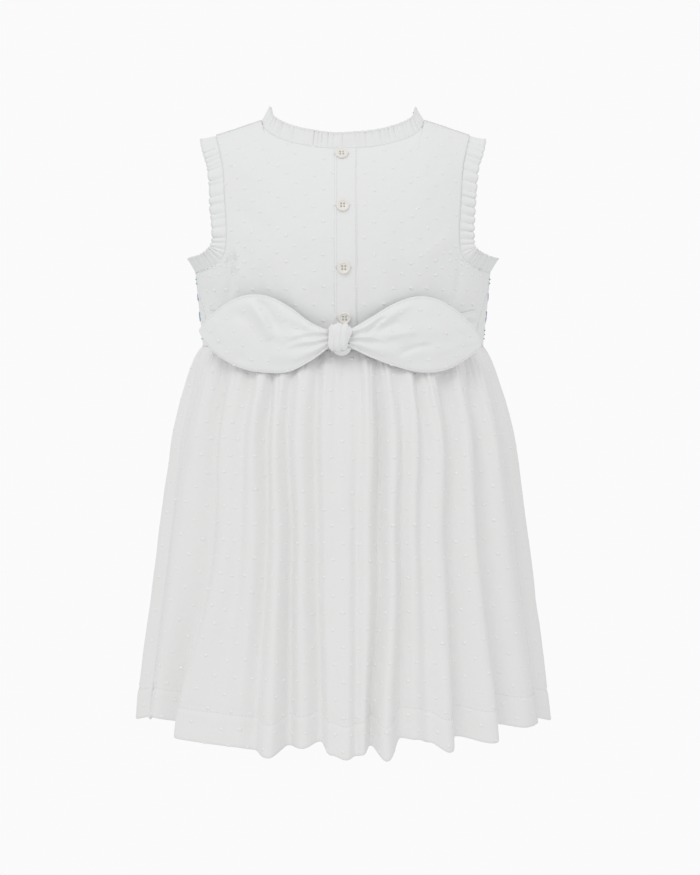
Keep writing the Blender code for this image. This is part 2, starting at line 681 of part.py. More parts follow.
def build_button(name, row):
    """A four-hole button with a raised rim, lying on the buttonhole band."""
    radius, thick = BUTTON_RADIUS, BUTTON_THICKNESS
    profile = (
        (0.0, 0.0),
        (0.72 * radius, 0.0),
        (0.94 * radius, 0.25 * thick),
        (radius, 0.6 * thick),
        (0.93 * radius, 0.95 * thick),
        (0.80 * radius, thick),
        (0.64 * radius, 0.68 * thick),
        (0.0, 0.62 * thick),
    )
    work = bmesh.new()
    chain = [work.verts.new((x, 0, z)) for x, z in profile]
    edges = [work.edges.new(pair) for pair in zip(chain, chain[1:])]
    bmesh.ops.spin(
        work, geom=chain + edges, axis=(0, 0, 1), cent=(0, 0, 0), angle=2 * math.pi, steps=20, use_merge=True
    )
    bmesh.ops.remove_doubles(work, verts=work.verts, dist=0.01 * MM)
    bmesh.ops.recalc_face_normals(work, faces=work.faces)
    mesh = bpy.data.meshes.new(name)
    work.to_mesh(mesh)
    work.free()
    mesh.polygons.foreach_set("use_smooth", [True] * len(mesh.polygons))
    z = row.z * MM
    place = body_point(angle_of(row.x * MM, z), np.array(z))
    normal = body_normal(place)
    button = new_object(name, mesh, PEARL, 0.3, Vector(place + normal * (SEAM_GAP + 0.1 * MM)))
    button.rotation_euler = Vector(normal).to_track_quat("Z", "Y").to_euler()
    cutter = hole_cutter(name + "_cutter")
    cutter.parent = button
    holes = button.modifiers.new("holes", "BOOLEAN")
    holes.operation = "DIFFERENCE"
    holes.solver = "EXACT"
    holes.object = cutter
    return button


def main():
    for piece in list(bpy.data.objects):
        bpy.data.objects.remove(piece, do_unlink=True)
    edges = build_bodice()
    bands = build_bands()
    front = edges["bodice_front"]
    build_armhole_frill("armhole_frill_right", edges["bodice_back_right"], front, 1)
    left_front = tuple(mirrored(part) for part in front)
    build_armhole_frill("armhole_frill_left", edges["bodice_back_left"], left_front, -1)
    build_neck_frill(edges, bands)
    build_skirt_panel("skirt_back", BACK_FOLDS)
    build_skirt_panel("skirt_front", FRONT_FOLDS)
    build_strap("sash_strap_left", -1)
    build_strap("sash_strap_right", 1)
    build_leaf("sash_end_left", LEFT_LEAF)
    build_leaf("sash_end_right", RIGHT_LEAF)
    build_knot()
    for number, row in enumerate(BUTTONS, 1):
        build_button(f"button_{number}", row)


main()
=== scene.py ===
"""Looks of a sleeveless toddler dress in dotted cotton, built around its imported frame.

Every piece of cloth is a thin shell worked out on the same body and skirt forms as the frame's solids,
with finer gathers, seams, stitches and woven tufts. Lengths are in metres unless a name says mm, +Z is
up, the buttoned back faces -Y and the wearer's right is towards +X.
"""

from __future__ import annotations

import logging
import math
from dataclasses import dataclass, field
from enum import Enum
from typing import Callable, NamedTuple, Sequence

import bmesh
import bpy
import numpy as np
from mathutils import Matrix, Vector

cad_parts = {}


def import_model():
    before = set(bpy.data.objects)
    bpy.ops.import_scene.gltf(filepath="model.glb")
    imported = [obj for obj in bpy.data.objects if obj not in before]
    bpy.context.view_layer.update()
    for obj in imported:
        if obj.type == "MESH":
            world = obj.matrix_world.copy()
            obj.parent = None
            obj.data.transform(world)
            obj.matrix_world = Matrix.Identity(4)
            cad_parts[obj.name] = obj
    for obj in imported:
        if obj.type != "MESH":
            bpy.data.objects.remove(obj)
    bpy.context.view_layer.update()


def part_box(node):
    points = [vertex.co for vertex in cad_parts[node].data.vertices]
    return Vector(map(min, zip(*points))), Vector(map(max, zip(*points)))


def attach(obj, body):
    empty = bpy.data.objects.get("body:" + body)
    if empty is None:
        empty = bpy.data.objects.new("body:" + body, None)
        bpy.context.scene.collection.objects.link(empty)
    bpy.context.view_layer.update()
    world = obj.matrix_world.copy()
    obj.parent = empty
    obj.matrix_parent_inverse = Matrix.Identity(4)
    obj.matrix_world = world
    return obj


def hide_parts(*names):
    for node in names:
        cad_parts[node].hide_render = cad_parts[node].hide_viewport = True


MM = 0.001
LOG = logging.getLogger("dress")
Curve = Callable[[np.ndarray], np.ndarray]


# --- Numbers and curves ---


def unit(vectors: np.ndarray) -> np.ndarray:
    """Directions of length one."""
    return vectors / np.maximum(np.linalg.norm(vectors, axis=-1, keepdims=True), 1e-12)


def eased(share: np.ndarray) -> np.ndarray:
    """A share from 0 to 1 that starts and stops gently."""
    return (1 - np.cos(np.pi * share)) / 2


def bump(distance: np.ndarray, width: float) -> np.ndarray:
    """One at distance zero, falling smoothly to nothing past about two widths."""
    return np.exp(-((distance / width) ** 2))


def through(keys: Sequence[float], values: Sequence[float]) -> Curve:
    """A smooth curve through rows of a table.

    Args:
        keys: Where each row stands.
        values: The row's value there.

    Returns:
        A function of the key, held at its end values outside the rows.
    """
    order = np.argsort(keys)
    xs = np.array(keys, float)[order]
    ys = np.array(values, float)[order]
    slopes = np.gradient(ys, xs)

    def at(x: np.ndarray) -> np.ndarray:
        """The curve's value.

        Args:
            x: The key.

        Returns:
            The value there.
        """
        x = np.clip(x, xs[0], xs[-1])
        i = np.clip(np.searchsorted(xs, x, side="right") - 1, 0, len(xs) - 2)
        step = xs[i + 1] - xs[i]
        t = (x - xs[i]) / step
        near = ys[i] * (1 + 2 * t) + slopes[i] * step * t
        far = ys[i + 1] * (3 - 2 * t) + slopes[i + 1] * step * (t - 1)
        return near * (1 - t) ** 2 + far * t * t

    return at


@dataclass(frozen=True)
class SoftNoise:
    """Smooth, repeatable unevenness between -1 and 1 over a unit square."""

    seed: int
    cells_u: int
    cells_v: int

    def at(self, u: np.ndarray, v: np.ndarray) -> np.ndarray:
        """The unevenness at places of the square.

        Args:
            u: Share of the way across.
            v: Share of the way along.

        Returns:
            Values between -1 and 1.
        """
        values = np.random.default_rng(self.seed).uniform(-1, 1, (self.cells_u + 2, self.cells_v + 2))
        across = np.clip(u, 0, 1) * self.cells_u
        along = np.clip(v, 0, 1) * self.cells_v
        i, j = across.astype(int), along.astype(int)
        s, t = eased(across - i), eased(along - j)
        low = values[i, j] * (1 - s) + values[i + 1, j] * s
        high = values[i, j + 1] * (1 - s) + values[i + 1, j + 1] * s
        return low * (1 - t) + high * t


# --- Forms that the cloth lies on ---


class Level(NamedTuple):
    """A height of a form and its half sizes there, in mm."""

    z: float
    half_width: float
    back_depth: float
    front_depth: float


class FormCurves:
    """Half width and depths of a form as curves of the height."""

    def __init__(self, rows: Sequence[Level]) -> None:
        """Draws the curves through the rows.

        Args:
            rows: The form's half sizes at some heights.
        """
        heights = [row.z * MM for row in rows]
        self.half_width = through(heights, [row.half_width * MM for row in rows])
        self.back_depth = through(heights, [row.back_depth * MM for row in rows])
        self.front_depth = through(heights, [row.front_depth * MM for row in rows])


TORSO = (
    Level(20, 118, 74, 71),
    Level(-60, 118, 75, 72),
    Level(-118, 118, 76, 74),
    Level(-150, 115, 74, 77),
    Level(-182, 112, 71, 78),
)
SKIRT = (
    Level(-182, 112, 71, 78),
    Level(-190, 116, 75, 82),
    Level(-200, 119.5, 79, 86),
    Level(-217, 124, 84, 92),
    Level(-241, 130.5, 90, 98),
    Level(-290, 138, 98, 106),
    Level(-338, 144, 104, 112),
    Level(-386, 150, 109, 117),
    Level(-450, 158, 116, 124),
    Level(-490, 162, 121, 129),
)


@dataclass(frozen=True)
class BodyForm:
    """The general figure that the bodice is shaped on."""

    neck_half_width: float = 65 * MM
    neck_point_z: float = -1.6 * MM
    back_neck_drop: float = 24.4 * MM
    front_neck_drop: float = 49 * MM
    shoulder_slope: float = 0.333
    shoulder_tip_x: float = 101 * MM
    underarm_z: float = -118 * MM
    waist_z: float = -182 * MM
    curves: FormCurves = field(default_factory=lambda: FormCurves(TORSO))

    def shoulder_height(self, x: np.ndarray) -> np.ndarray:
        """Height of the shoulder ridge, level over the neck and falling outside it."""
        past = np.abs(x) - self.neck_half_width
        return self.neck_point_z - self.shoulder_slope * (np.hypot(past, 2 * MM) + past) / 2

    def closing(self, x: np.ndarray, z: np.ndarray) -> np.ndarray:
        """How far a height is from the underarm (0) to the shoulder ridge (1)."""
        return np.maximum(z - self.underarm_z, 0) / (self.shoulder_height(x) - self.underarm_z)

    def point(self, angle: np.ndarray, z: np.ndarray) -> np.ndarray:
        """A point of the form.

        Args:
            angle: How far round from the centre back, in radians.
            z: The height.

        Returns:
            Points, with their three coordinates last.
        """
        x = self.curves.half_width(z) * np.sin(angle)
        depth = np.where(np.cos(angle) > 0, self.curves.back_depth(z), self.curves.front_depth(z))
        y = -depth * np.cos(angle) * np.sqrt(np.maximum(1 - self.closing(x, z) ** 2, 0))
        return np.stack([x, y, z + 0 * x], axis=-1)

    def outside(self, points: np.ndarray) -> np.ndarray:
        """How far points are outside the form.

        Args:
            points: Points near the form.

        Returns:
            Zero on the form and more outside it.
        """
        x, y, z = np.moveaxis(points, -1, 0)
        depth = np.where(y < 0, self.curves.back_depth(z), self.curves.front_depth(z))
        roundness = 1 - (x / self.curves.half_width(z)) ** 2
        return (y / depth) ** 2 - roundness * (1 - self.closing(x, z) ** 2)

    def normal(self, points: np.ndarray) -> np.ndarray:
        """Outward direction of the form.

        Args:
            points: Points on the form.

        Returns:
            Directions of length one.
        """
        step = 0.02 * MM
        gradient = [
            self.outside(points + step * axis) - self.outside(points - step * axis) for axis in np.eye(3)
        ]
        return unit(np.stack(gradient, axis=-1))

    def angle_of(self, x: np.ndarray, z: np.ndarray) -> np.ndarray:
        """The angle round from the centre back of a place on the back."""
        return np.arcsin(np.clip(x / self.curves.half_width(z), -1, 1))

    def neck_height(self, x: np.ndarray, drop: float) -> np.ndarray:
        """Height of the neck seam."""
        return self.neck_point_z - drop * np.sqrt(np.maximum(1 - (x / self.neck_half_width) ** 2, 0))


class Fold(NamedTuple):
    """A ridge or valley of the skirt.

    Each row has the degrees round from the centre back at three heights, the mm outwards just under the
    waist and at the hem, the mm that its hem is raised, and a factor painted into its cloth's colour:
    painted shade below 1 and painted highlight above 1, partly standing for cloth lying double.
    """

    top: float
    middle: float
    hem: float
    out_top: float
    out_hem: float
    lift: float
    painted_light_and_doubling: float = 1.0


# The last column paints shade and highlight into the back's colour along each fold.
BACK_FOLDS = (
    Fold(-68.0, -71.0, -72.0, 0.0, 0.0, 12, 0.955),
    Fold(-58.5, -61.5, -64.5, 2.0, 5.0, 17, 0.985),
    Fold(-50.5, -47.6, -57.5, -4.0, -12.0, 14, 0.945),
    Fold(-42.6, -38.8, -50.3, 2.0, 6.0, 6, 0.985),
    Fold(-36.2, -33.7, -35.4, -1.0, 1.0, 5, 1.01),
    Fold(-31.0, -28.6, -30.4, 4.0, 2.0, 5, 1.02),
    Fold(-27.2, -24.2, -25.3, -2.5, -4.0, 3, 0.975),
    Fold(-23.2, -19.8, -19.5, 1.0, 8.0, 0, 1.0),
    Fold(-19.7, -16.2, -15.2, -2.0, -8.0, 7, 1.0),
    Fold(-15.0, -12.3, -10.9, 3.0, 3.0, 7, 1.04),
    Fold(-9.3, -7.9, -6.2, -2.0, -6.0, 11, 0.985),
    Fold(-5.9, -4.4, -3.0, 2.0, 4.0, 3, 1.01),
    Fold(1.4, 1.5, 1.2, 1.0, 7.0, 0, 1.0),
    Fold(5.6, 4.2, 3.6, -1.0, 2.0, 2, 1.0),
    Fold(9.2, 7.3, 5.4, 3.0, 5.0, 3, 1.035),
    Fold(12.8, 11.3, 7.7, -4.0, -5.0, 8, 0.985),
    Fold(17.2, 14.9, 11.4, 1.0, 9.0, -1, 1.03),
    Fold(21.3, 18.4, 16.4, -1.5, -5.0, 13, 1.02),
    Fold(25.2, 22.0, 20.6, 3.0, 0.5, 12, 1.06),
    Fold(28.4, 25.4, 24.3, -2.0, -2.0, 9, 1.0),
    Fold(33.6, 30.4, 29.6, 2.0, 6.0, 2, 1.01),
    Fold(40.4, 35.9, 34.4, -4.0, -9.0, 10, 0.965),
    Fold(47.1, 43.0, 44.6, 2.0, 7.0, 5, 1.02),
    Fold(54.6, 50.7, 51.6, -4.0, -11.0, 14, 0.95),
    Fold(61.5, 61.0, 62.5, 3.0, 4.0, 10, 1.01),
    Fold(68.0, 71.0, 72.0, 0.0, 0.0, 8, 0.95),
)
FRONT_FOLDS = (
    Fold(68.0, 71.0, 72.0, 0.0, 0.0, 8),
    Fold(79.0, 80.0, 80.0, -2.0, -6.0, 9),
    Fold(91.0, 91.0, 90.0, 2.0, 6.0, 4),
    Fold(103.0, 104.0, 104.0, -3.0, -8.0, 9),
    Fold(115.0, 117.0, 118.0, 3.0, 7.0, 2),
    Fold(126.0, 129.0, 131.0, -4.0, -9.0, 10),
    Fold(138.0, 141.0, 144.0, 3.0, 8.0, 0),
    Fold(149.0, 151.0, 154.0, -2.0, -6.0, 6),
    Fold(159.0, 161.0, 163.0, 2.0, 5.0, 2),
    Fold(169.0, 170.0, 171.0, -3.0, -8.0, 8),
    Fold(180.0, 181.0, 181.0, 3.0, 7.0, 0),
    Fold(191.0, 192.0, 193.0, -4.0, -9.0, 9),
    Fold(201.0, 202.0, 203.0, 2.0, 6.0, 2),
    Fold(211.0, 211.0, 212.0, -2.0, -5.0, 5),
    Fold(222.0, 221.0, 220.0, 3.0, 8.0, 0),
    Fold(233.0, 232.0, 230.0, -3.0, -9.0, 10),
    Fold(244.0, 243.0, 242.0, 2.0, 6.0, 3),
    Fold(257.0, 257.0, 256.0, -3.0, -8.0, 9),
    Fold(269.0, 269.0, 270.0, 2.0, 6.0, 5),
    Fold(280.0, 280.0, 280.0, -2.0, -6.0, 10),
    Fold(292.0, 289.0, 288.0, 0.0, 0.0, 12),
)


# --- Meshes of cloth ---


@dataclass
class ClothGrid:
    """A sheet of cloth as rows and columns of points, with the place of each in the flat cut.

    A closed sheet joins its last column to its first, and its flat places have one column more.
    """

    points: np.ndarray
    flat: np.ndarray
    outward: np.ndarray
    closed: bool = False

    def faces(self) -> list[tuple[int, int, int, int]]:
        """Four-cornered faces.

        Returns:
            The numbers of each face's points.
        """
        rows, columns = self.points.shape[:2]
        faces = []
        for start in range(0, (rows - 1) * columns, columns):
            for here in range(columns if self.closed else columns - 1):
                there = (here + 1) % columns
                below = start + columns
                faces.append((start + here, start + there, below + there, below + here))
        return faces

    def ring(self) -> np.ndarray:
        """The points, with the first column again at the end of a closed sheet."""
        return np.concatenate([self.points, self.points[:, :1]], axis=1) if self.closed else self.points

    def corner_places(self) -> np.ndarray:
        """The flat place of each corner of each face.

        Returns:
            Two numbers for each corner.
        """
        places = self.flat
        corners = [places[:-1, :-1], places[:-1, 1:], places[1:, 1:], places[1:, :-1]]
        return np.stack(corners, axis=2).reshape(-1, 2)


def flat_places(points: np.ndarray, closed: bool = False) -> np.ndarray:
    """Flat places of a grid from the lengths along its middle row and its columns.

    Args:
        points: Rows and columns of points.
        closed: Whether the last column joins the first.

    Returns:
        Two numbers for each point, in metres, with an extra column when closed.
    """
    ring = np.concatenate([points, points[:, :1]], axis=1) if closed else points
    steps = np.linalg.norm(np.diff(ring, axis=1), axis=-1).mean(axis=0)
    across = np.concatenate([[0], np.cumsum(steps)])
    drops = np.linalg.norm(np.diff(ring, axis=0), axis=-1)
    down = np.concatenate([np.zeros((1, ring.shape[1])), np.cumsum(drops, axis=0)])
    return np.stack([across[None, :] - across.mean() + 0 * down, -down], axis=-1)


def grid_normals(points: np.ndarray, outward: np.ndarray) -> np.ndarray:
    """Outward directions of a grid, on the side that the rough outward directions are.

    Args:
        points: Rows and columns of points.
        outward: Rough outward directions.

    Returns:
        Directions of length one.
    """
    normals = unit(np.cross(np.gradient(points, axis=1), np.gradient(points, axis=0)))
    side = np.sign((normals * outward).sum(axis=-1).mean())
    return normals * side


def mesh_of(name: str, grid: ClothGrid) -> bpy.types.Mesh:
    """A mesh of a grid with its flat places as a UV map and its weft as an attribute.

    Args:
        name: The mesh's name.
        grid: The sheet of cloth.

    Returns:
        The mesh, with its faces turned outwards.
    """
    mesh = bpy.data.meshes.new(name)
    faces = grid.faces()
    a, b, c = (grid.points.reshape(-1, 3)[[face[i] for face in faces]] for i in (0, 1, 2))
    rough = grid.outward.reshape(-1, 3)[[face[0] for face in faces]]
    turned = float((np.cross(b - a, c - b) * rough).sum()) < 0
    if turned:
        faces = [face[::-1] for face in faces]
    mesh.from_pydata(grid.points.reshape(-1, 3).tolist(), [], faces)
    places = grid.corner_places().reshape(-1, 4, 2)
    places = places[:, ::-1] if turned else places
    layer = mesh.uv_layers.new(name="cloth")
    layer.data.foreach_set("uv", np.ascontiguousarray(places).reshape(-1))
    weft = mesh.attributes.new("weft", "FLOAT_VECTOR", "POINT")
    points = grid.points
    if grid.closed:
        along = np.roll(points, -1, axis=1) - np.roll(points, 1, axis=1)
    else:
        along = np.gradient(points, axis=1)
    weft.data.foreach_set("vector", np.ascontiguousarray(unit(along)).reshape(-1))
    mesh.polygons.foreach_set("use_smooth", [True] * len(mesh.polygons))
    return mesh


def scene_object(name: str, data: bpy.types.ID) -> bpy.types.Object:
    """A new object in the scene.

    Args:
        name: Its name.
        data: Its mesh, light or camera.

    Returns:
        The object.
    """
    made = bpy.data.objects.new(name, data)
    bpy.context.scene.collection.objects.link(made)
    return made


# --- Finishes ---


class Nodes:
    """A short way to write a node tree: each call adds a node and links its inputs."""

    def __init__(self, tree: bpy.types.NodeTree) -> None:
        """Starts on a tree."""
        self.tree = tree

    def add(self, kind: str, settings: dict | None = None, **inputs: object) -> bpy.types.Node:
        """Adds a node.

        Args:
            kind: The node's type.
            settings: Its properties.
            **inputs: Values or output sockets for its inputs, by name with _ for a space, or by _number.

        Returns:
            The node.
        """
        node = self.tree.nodes.new(kind)
        for key, value in (settings or {}).items():
            setattr(node, key, value)
        for key, value in inputs.items():
            if key[0] == "_":
                socket = node.inputs[int(key[1:])]
            else:
                label = key.replace("_", " ")
                socket = next(item for item in node.inputs if item.name == label and item.enabled)
            if isinstance(value, bpy.types.NodeSocket):
                self.tree.links.new(value, socket)
            else:
                socket.default_value = value
        return node

    def math(self, operation: str, *values: object, kind: str = "ShaderNodeMath") -> bpy.types.NodeSocket:
        """The result of a sum on numbers or sockets."""
        inputs = {f"_{i}": value for i, value in enumerate(values)}
        return self.add(kind, {"operation": operation}, **inputs).outputs[0]

    def vector_math(self, operation: str, *values: object) -> bpy.types.NodeSocket:
        """The result of a sum on vectors."""
        return self.math(operation, *values, kind="ShaderNodeVectorMath")


@dataclass(frozen=True)
class Finish:
    """What a piece is made of: its name and colour, and a material slot name that nothing reads."""

    name: str
    colour: tuple[float, float, float]
    slot: str

    def tinted(self, add: Nodes, level: bpy.types.NodeSocket) -> bpy.types.NodeSocket:
        """The finish's colour, made lighter or darker by a level."""
        scaled = add.add("ShaderNodeVectorMath", {"operation": "SCALE"}, _0=self.colour, Scale=level)
        return scaled.outputs[0]

    def shader(self, add: Nodes) -> bpy.types.Node:
        """The shader of this kind of finish, which each kind writes for itself."""
        raise NotImplementedError

    def material(self) -> bpy.types.Material:
        """The finish as a material, made once.

        Returns:
            The material.
        """
        made = bpy.data.materials.get(self.name)
        if made is None:
            made = bpy.data.materials.new(self.name)
            made.use_nodes = True
            made.node_tree.nodes.clear()
            add = Nodes(made.node_tree)
            add.add("ShaderNodeOutputMaterial", Surface=self.shader(add).outputs[0])
        return made


@dataclass(frozen=True)
class ClothFinish(Finish):
    """A plain-woven cotton: its threads, fine crinkle and sheen."""

    thread_pitch: float = 0.42 * MM
    weave_depth: float = 0.05 * MM
    # Painted shade in the weave: how much lighter the threads' crowns are than the gaps between them.
    weave_gap_shade: float = 0.03
    slub_scale: float = 900.0
    crinkle_depth: float = 0.35 * MM
    crinkle_size: float = 9 * MM
    cloud_scale: float = 38.0
    mottle: float = 0.035
    roughness: float = 0.92
    sheen: float = 0.12

    def weave(self, add: Nodes) -> bpy.types.NodeSocket:
        """Crossed threads, on the flat map of the cloth.

        Args:
            add: The writer of the material's tree.

        Returns:
            How high the threads stand, from 0 to 1.
        """
        place = add.add("ShaderNodeUVMap", {"uv_map": "cloth"}).outputs["UV"]
        threads = []
        for direction in ("X", "Y"):
            wave = add.add(
                "ShaderNodeTexWave",
                {"wave_type": "BANDS", "bands_direction": direction},
                Vector=place,
                Scale=math.pi / (10 * self.thread_pitch),
                Distortion=1.2,
                Detail=1.0,
                Detail_Scale=0.6,
            )
            threads.append(wave.outputs["Fac"])
        return add.math("MULTIPLY", *threads)

    def shader(self, add: Nodes) -> bpy.types.Node:
        """Cloth with its weave, slubs and crinkle as relief, painted shade in the gaps of its weave, and the
        painted shade and highlight of its folds, hollows and hem read from the shade attribute.

        Args:
            add: The writer of the material's tree.

        Returns:
            The shader.
        """
        weave = self.weave(add)
        solid = add.add("ShaderNodeTexCoord").outputs["Object"]
        noises = [
            add.add("ShaderNodeTexNoise", Vector=solid, Scale=scale, Detail=detail, Roughness=rough)
            for scale, detail, rough in (
                (self.slub_scale, 2.0, 0.6),
                (1 / self.crinkle_size, 3.0, 0.5),
                (self.cloud_scale, 2.0, 0.5),
            )
        ]
        slubs, crinkle, cloudy = (noise.outputs["Fac"] for noise in noises)
        relief = add.add("ShaderNodeBump", Strength=0.8, Distance=self.weave_depth, Height=weave)
        for strength, depth, height in ((0.5, self.weave_depth, slubs), (0.7, self.crinkle_depth, crinkle)):
            below = relief.outputs[0]
            relief = add.add("ShaderNodeBump", Strength=strength, Distance=depth, Height=height, Normal=below)
        # Painted shade and highlight of folds, hollows and the hem, carried by the shade attribute.
        shade = add.add("ShaderNodeAttribute", {"attribute_name": "shade"}).outputs["Fac"]
        level = add.math("ADD", 1 - self.mottle, add.math("MULTIPLY", cloudy, 2 * self.mottle))
        # Painted shade: lighter on the threads' crowns, darker in the gaps between them.
        weave_shade = add.math("MULTIPLY", weave, self.weave_gap_shade)
        weave_shade = add.math("ADD", 1 - self.weave_gap_shade / 2, weave_shade)
        level = add.math("MULTIPLY", add.math("MULTIPLY", level, weave_shade), shade)
        return add.add(
            "ShaderNodeBsdfPrincipled",
            Base_Color=self.tinted(add, level),
            Roughness=self.roughness,
            Sheen_Weight=self.sheen,
            Sheen_Roughness=0.5,
            Specular_IOR_Level=0.2,
            Normal=relief.outputs[0],
        )


@dataclass(frozen=True)
class YarnFinish(Finish):
    """Thread, floss or tuft yarn, with fine twisted ply."""

    ply_scale: float = 2600.0
    ply_depth: float = 0.06 * MM
    roughness: float = 0.75
    sheen: float = 0.25

    def shader(self, add: Nodes) -> bpy.types.Node:
        """Yarn with its ply as relief, and painted shade in the ply's hollows.

        Args:
            add: The writer of the material's tree.

        Returns:
            The shader.
        """
        solid = add.add("ShaderNodeTexCoord").outputs["Object"]
        ply = add.add("ShaderNodeTexNoise", Vector=solid, Scale=self.ply_scale, Detail=1.0).outputs["Fac"]
        relief = add.add("ShaderNodeBump", Strength=0.6, Distance=self.ply_depth, Height=ply)
        # Painted shade: lighter where the ply stands high, darker in its hollows.
        level = add.math("ADD", 0.95, add.math("MULTIPLY", ply, 0.1))
        return add.add(
            "ShaderNodeBsdfPrincipled",
            Base_Color=self.tinted(add, level),
            Roughness=self.roughness,
            Sheen_Weight=self.sheen,
            Sheen_Roughness=0.4,
            Specular_IOR_Level=0.3,
            Normal=relief.outputs[0],
        )


@dataclass(frozen=True)
class ShellFinish(Finish):
    """Pearly button shell with faint layers and a soft gloss."""

    layer_scale: float = 170.0
    roughness: float = 0.28
    coat: float = 0.4

    def shader(self, add: Nodes) -> bpy.types.Node:
        """Shell with its layers as a faint change of tone.

        Args:
            add: The writer of the material's tree.

        Returns:
            The shader.
        """
        layers = add.add(
            "ShaderNodeTexWave",
            {"wave_type": "BANDS", "bands_direction": "Z"},
            Vector=add.add("ShaderNodeTexCoord").outputs["Object"],
            Scale=self.layer_scale,
            Distortion=5.0,
            Detail=2.0,
        ).outputs["Fac"]
        level = add.math("ADD", 0.93, add.math("MULTIPLY", layers, 0.12))
        return add.add(
            "ShaderNodeBsdfPrincipled",
            Base_Color=self.tinted(add, level),
            Roughness=self.roughness,
            Coat_Weight=self.coat,
            Coat_Roughness=0.15,
        )


BODICE_COTTON = ClothFinish("bodice_cotton", (0.790, 0.808, 0.822), "bodice_cotton")
FRILL_COTTON = ClothFinish("frill_cotton", (0.795, 0.808, 0.812), "frill_cotton", crinkle_depth=0.2 * MM)
SKIRT_COTTON = ClothFinish("skirt_cotton", (0.872, 0.870, 0.855), "skirt_cotton", crinkle_size=14 * MM)
SASH_COTTON = ClothFinish("sash_cotton", (0.812, 0.816, 0.814), "sash_cotton", crinkle_size=11 * MM)
TUFT_YARN = YarnFinish("tuft_yarn", (0.93, 0.93, 0.925), "skirt_cotton", roughness=0.95)
SEWING_THREAD = YarnFinish("sewing_thread", (0.80, 0.80, 0.79), "bodice_cotton")
SEA_FLOSS = YarnFinish("sea_green_floss", (0.20, 0.56, 0.45), "bodice_cotton", roughness=0.5)
BLUE_FLOSS = YarnFinish("blue_floss", (0.22, 0.34, 0.60), "bodice_cotton", roughness=0.5)
BUTTON_SHELL = ShellFinish("button_shell", (0.90, 0.885, 0.85), "button_shell")


class Hold(Enum):
    """How a sheet of cloth is held in its place."""

    STRETCHED = "stretched"
    GATHERED = "gathered"
    FOLDED = "folded"


def place_piece(
    piece: bpy.types.Object, finish: Finish, stands_for: Sequence[str] = ()
) -> bpy.types.Object:
    """Gives a piece its finish and its place on the frame.

    Args:
        piece: The piece, in place.
        finish: What it is made of.
        stands_for: Names of the frame's nodes that it replaces.

    Returns:
        The piece.
    """
    piece.data.materials.clear()
    piece.data.materials.append(finish.material())
    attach(piece, "root")
    if stands_for:
        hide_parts(*stands_for)
    LOG.info("%s: %d faces", piece.name, len(piece.data.polygons))
    return piece


def sheet_of_cloth(
    name: str,
    grid: ClothGrid,
    finish: ClothFinish,
    thickness: float = 0.45 * MM,
    stands_for: Sequence[str] = (),
    shade: np.ndarray | None = None,
) -> bpy.types.Object:
    """A sheet of cloth with a real thickness, with its flat cut as its UV map.

    Args:
        name: The piece's name.
        grid: Its shape, on its outer side.
        finish: What it is woven from.
        thickness: How thick it is, inwards from the grid.
        stands_for: Names of the frame's nodes that it replaces.
        shade: Painted shade and highlight of each point, as a factor on its colour, 1 where there is none.

    Returns:
        The piece.
    """
    mesh = mesh_of(name, grid)
    values = np.ones(grid.points.shape[:2]) if shade is None else shade
    painted_shading = mesh.attributes.new("shade", "FLOAT", "POINT").data
    painted_shading.foreach_set("value", values.reshape(-1).astype(np.float32))
    piece = scene_object(name, mesh)
    solidify = piece.modifiers.new("thickness", "SOLIDIFY")
    solidify.thickness = thickness
    solidify.offset = -1
    place_piece(piece, finish, stands_for)
    return piece


# --- Woven tufts and stitches, as Geometry Nodes ---


def geometry_tree(
    name: str, inputs: Sequence[tuple[str, str, object]]
) -> tuple[bpy.types.NodeTree, Nodes, bpy.types.Node]:
    """A new tree with a geometry input, named inputs and a geometry output.

    Args:
        name: The tree's name.
        inputs: The name, socket type and first value of each input after the geometry.

    Returns:
        The tree, a writer for it, and its input node.
    """
    tree = bpy.data.node_groups.new(name, "GeometryNodeTree")
    tree.interface.new_socket("Geometry", in_out="INPUT", socket_type="NodeSocketGeometry")
    for label, kind, value in inputs:
        socket = tree.interface.new_socket(label, in_out="INPUT", socket_type=kind)
        if value is not None:
            socket.default_value = value
    tree.interface.new_socket("Geometry", in_out="OUTPUT", socket_type="NodeSocketGeometry")
    return tree, Nodes(tree), tree.nodes.new("NodeGroupInput")


def finish_tree(add: Nodes, geometry: bpy.types.NodeSocket, material: bpy.types.NodeSocket) -> None:
    """Ends a tree with real, smooth, coloured meshes.

    Args:
        add: The tree's writer.
        geometry: What the tree has made.
        material: What that is made of.
    """
    real = add.add("GeometryNodeRealizeInstances", Geometry=geometry)
    smooth = add.add("GeometryNodeSetShadeSmooth", Geometry=real.outputs[0])
    coloured = add.add("GeometryNodeSetMaterial", Geometry=smooth.outputs[0], Material=material)
    output = add.tree.nodes.new("NodeGroupOutput")
    add.tree.links.new(coloured.outputs[0], output.inputs[0])


def spun(
    add: Nodes, rotation: bpy.types.NodeSocket, axis: tuple[float, float, float], angle: bpy.types.NodeSocket
) -> bpy.types.NodeSocket:
    """A rotation, turned further about one of its own axes.

    Args:
        add: The tree's writer.
        rotation: The rotation so far.
        axis: The axis, in the turned piece's own directions.
        angle: How far, in radians.

    Returns:
        The new rotation.
    """
    spin = add.add("FunctionNodeAxisAngleToRotation", Axis=axis, Angle=angle).outputs[0]
    local = {"rotation_space": "LOCAL"}
    return add.add("FunctionNodeRotateRotation", local, Rotation=rotation, Rotate_By=spin).outputs[0]


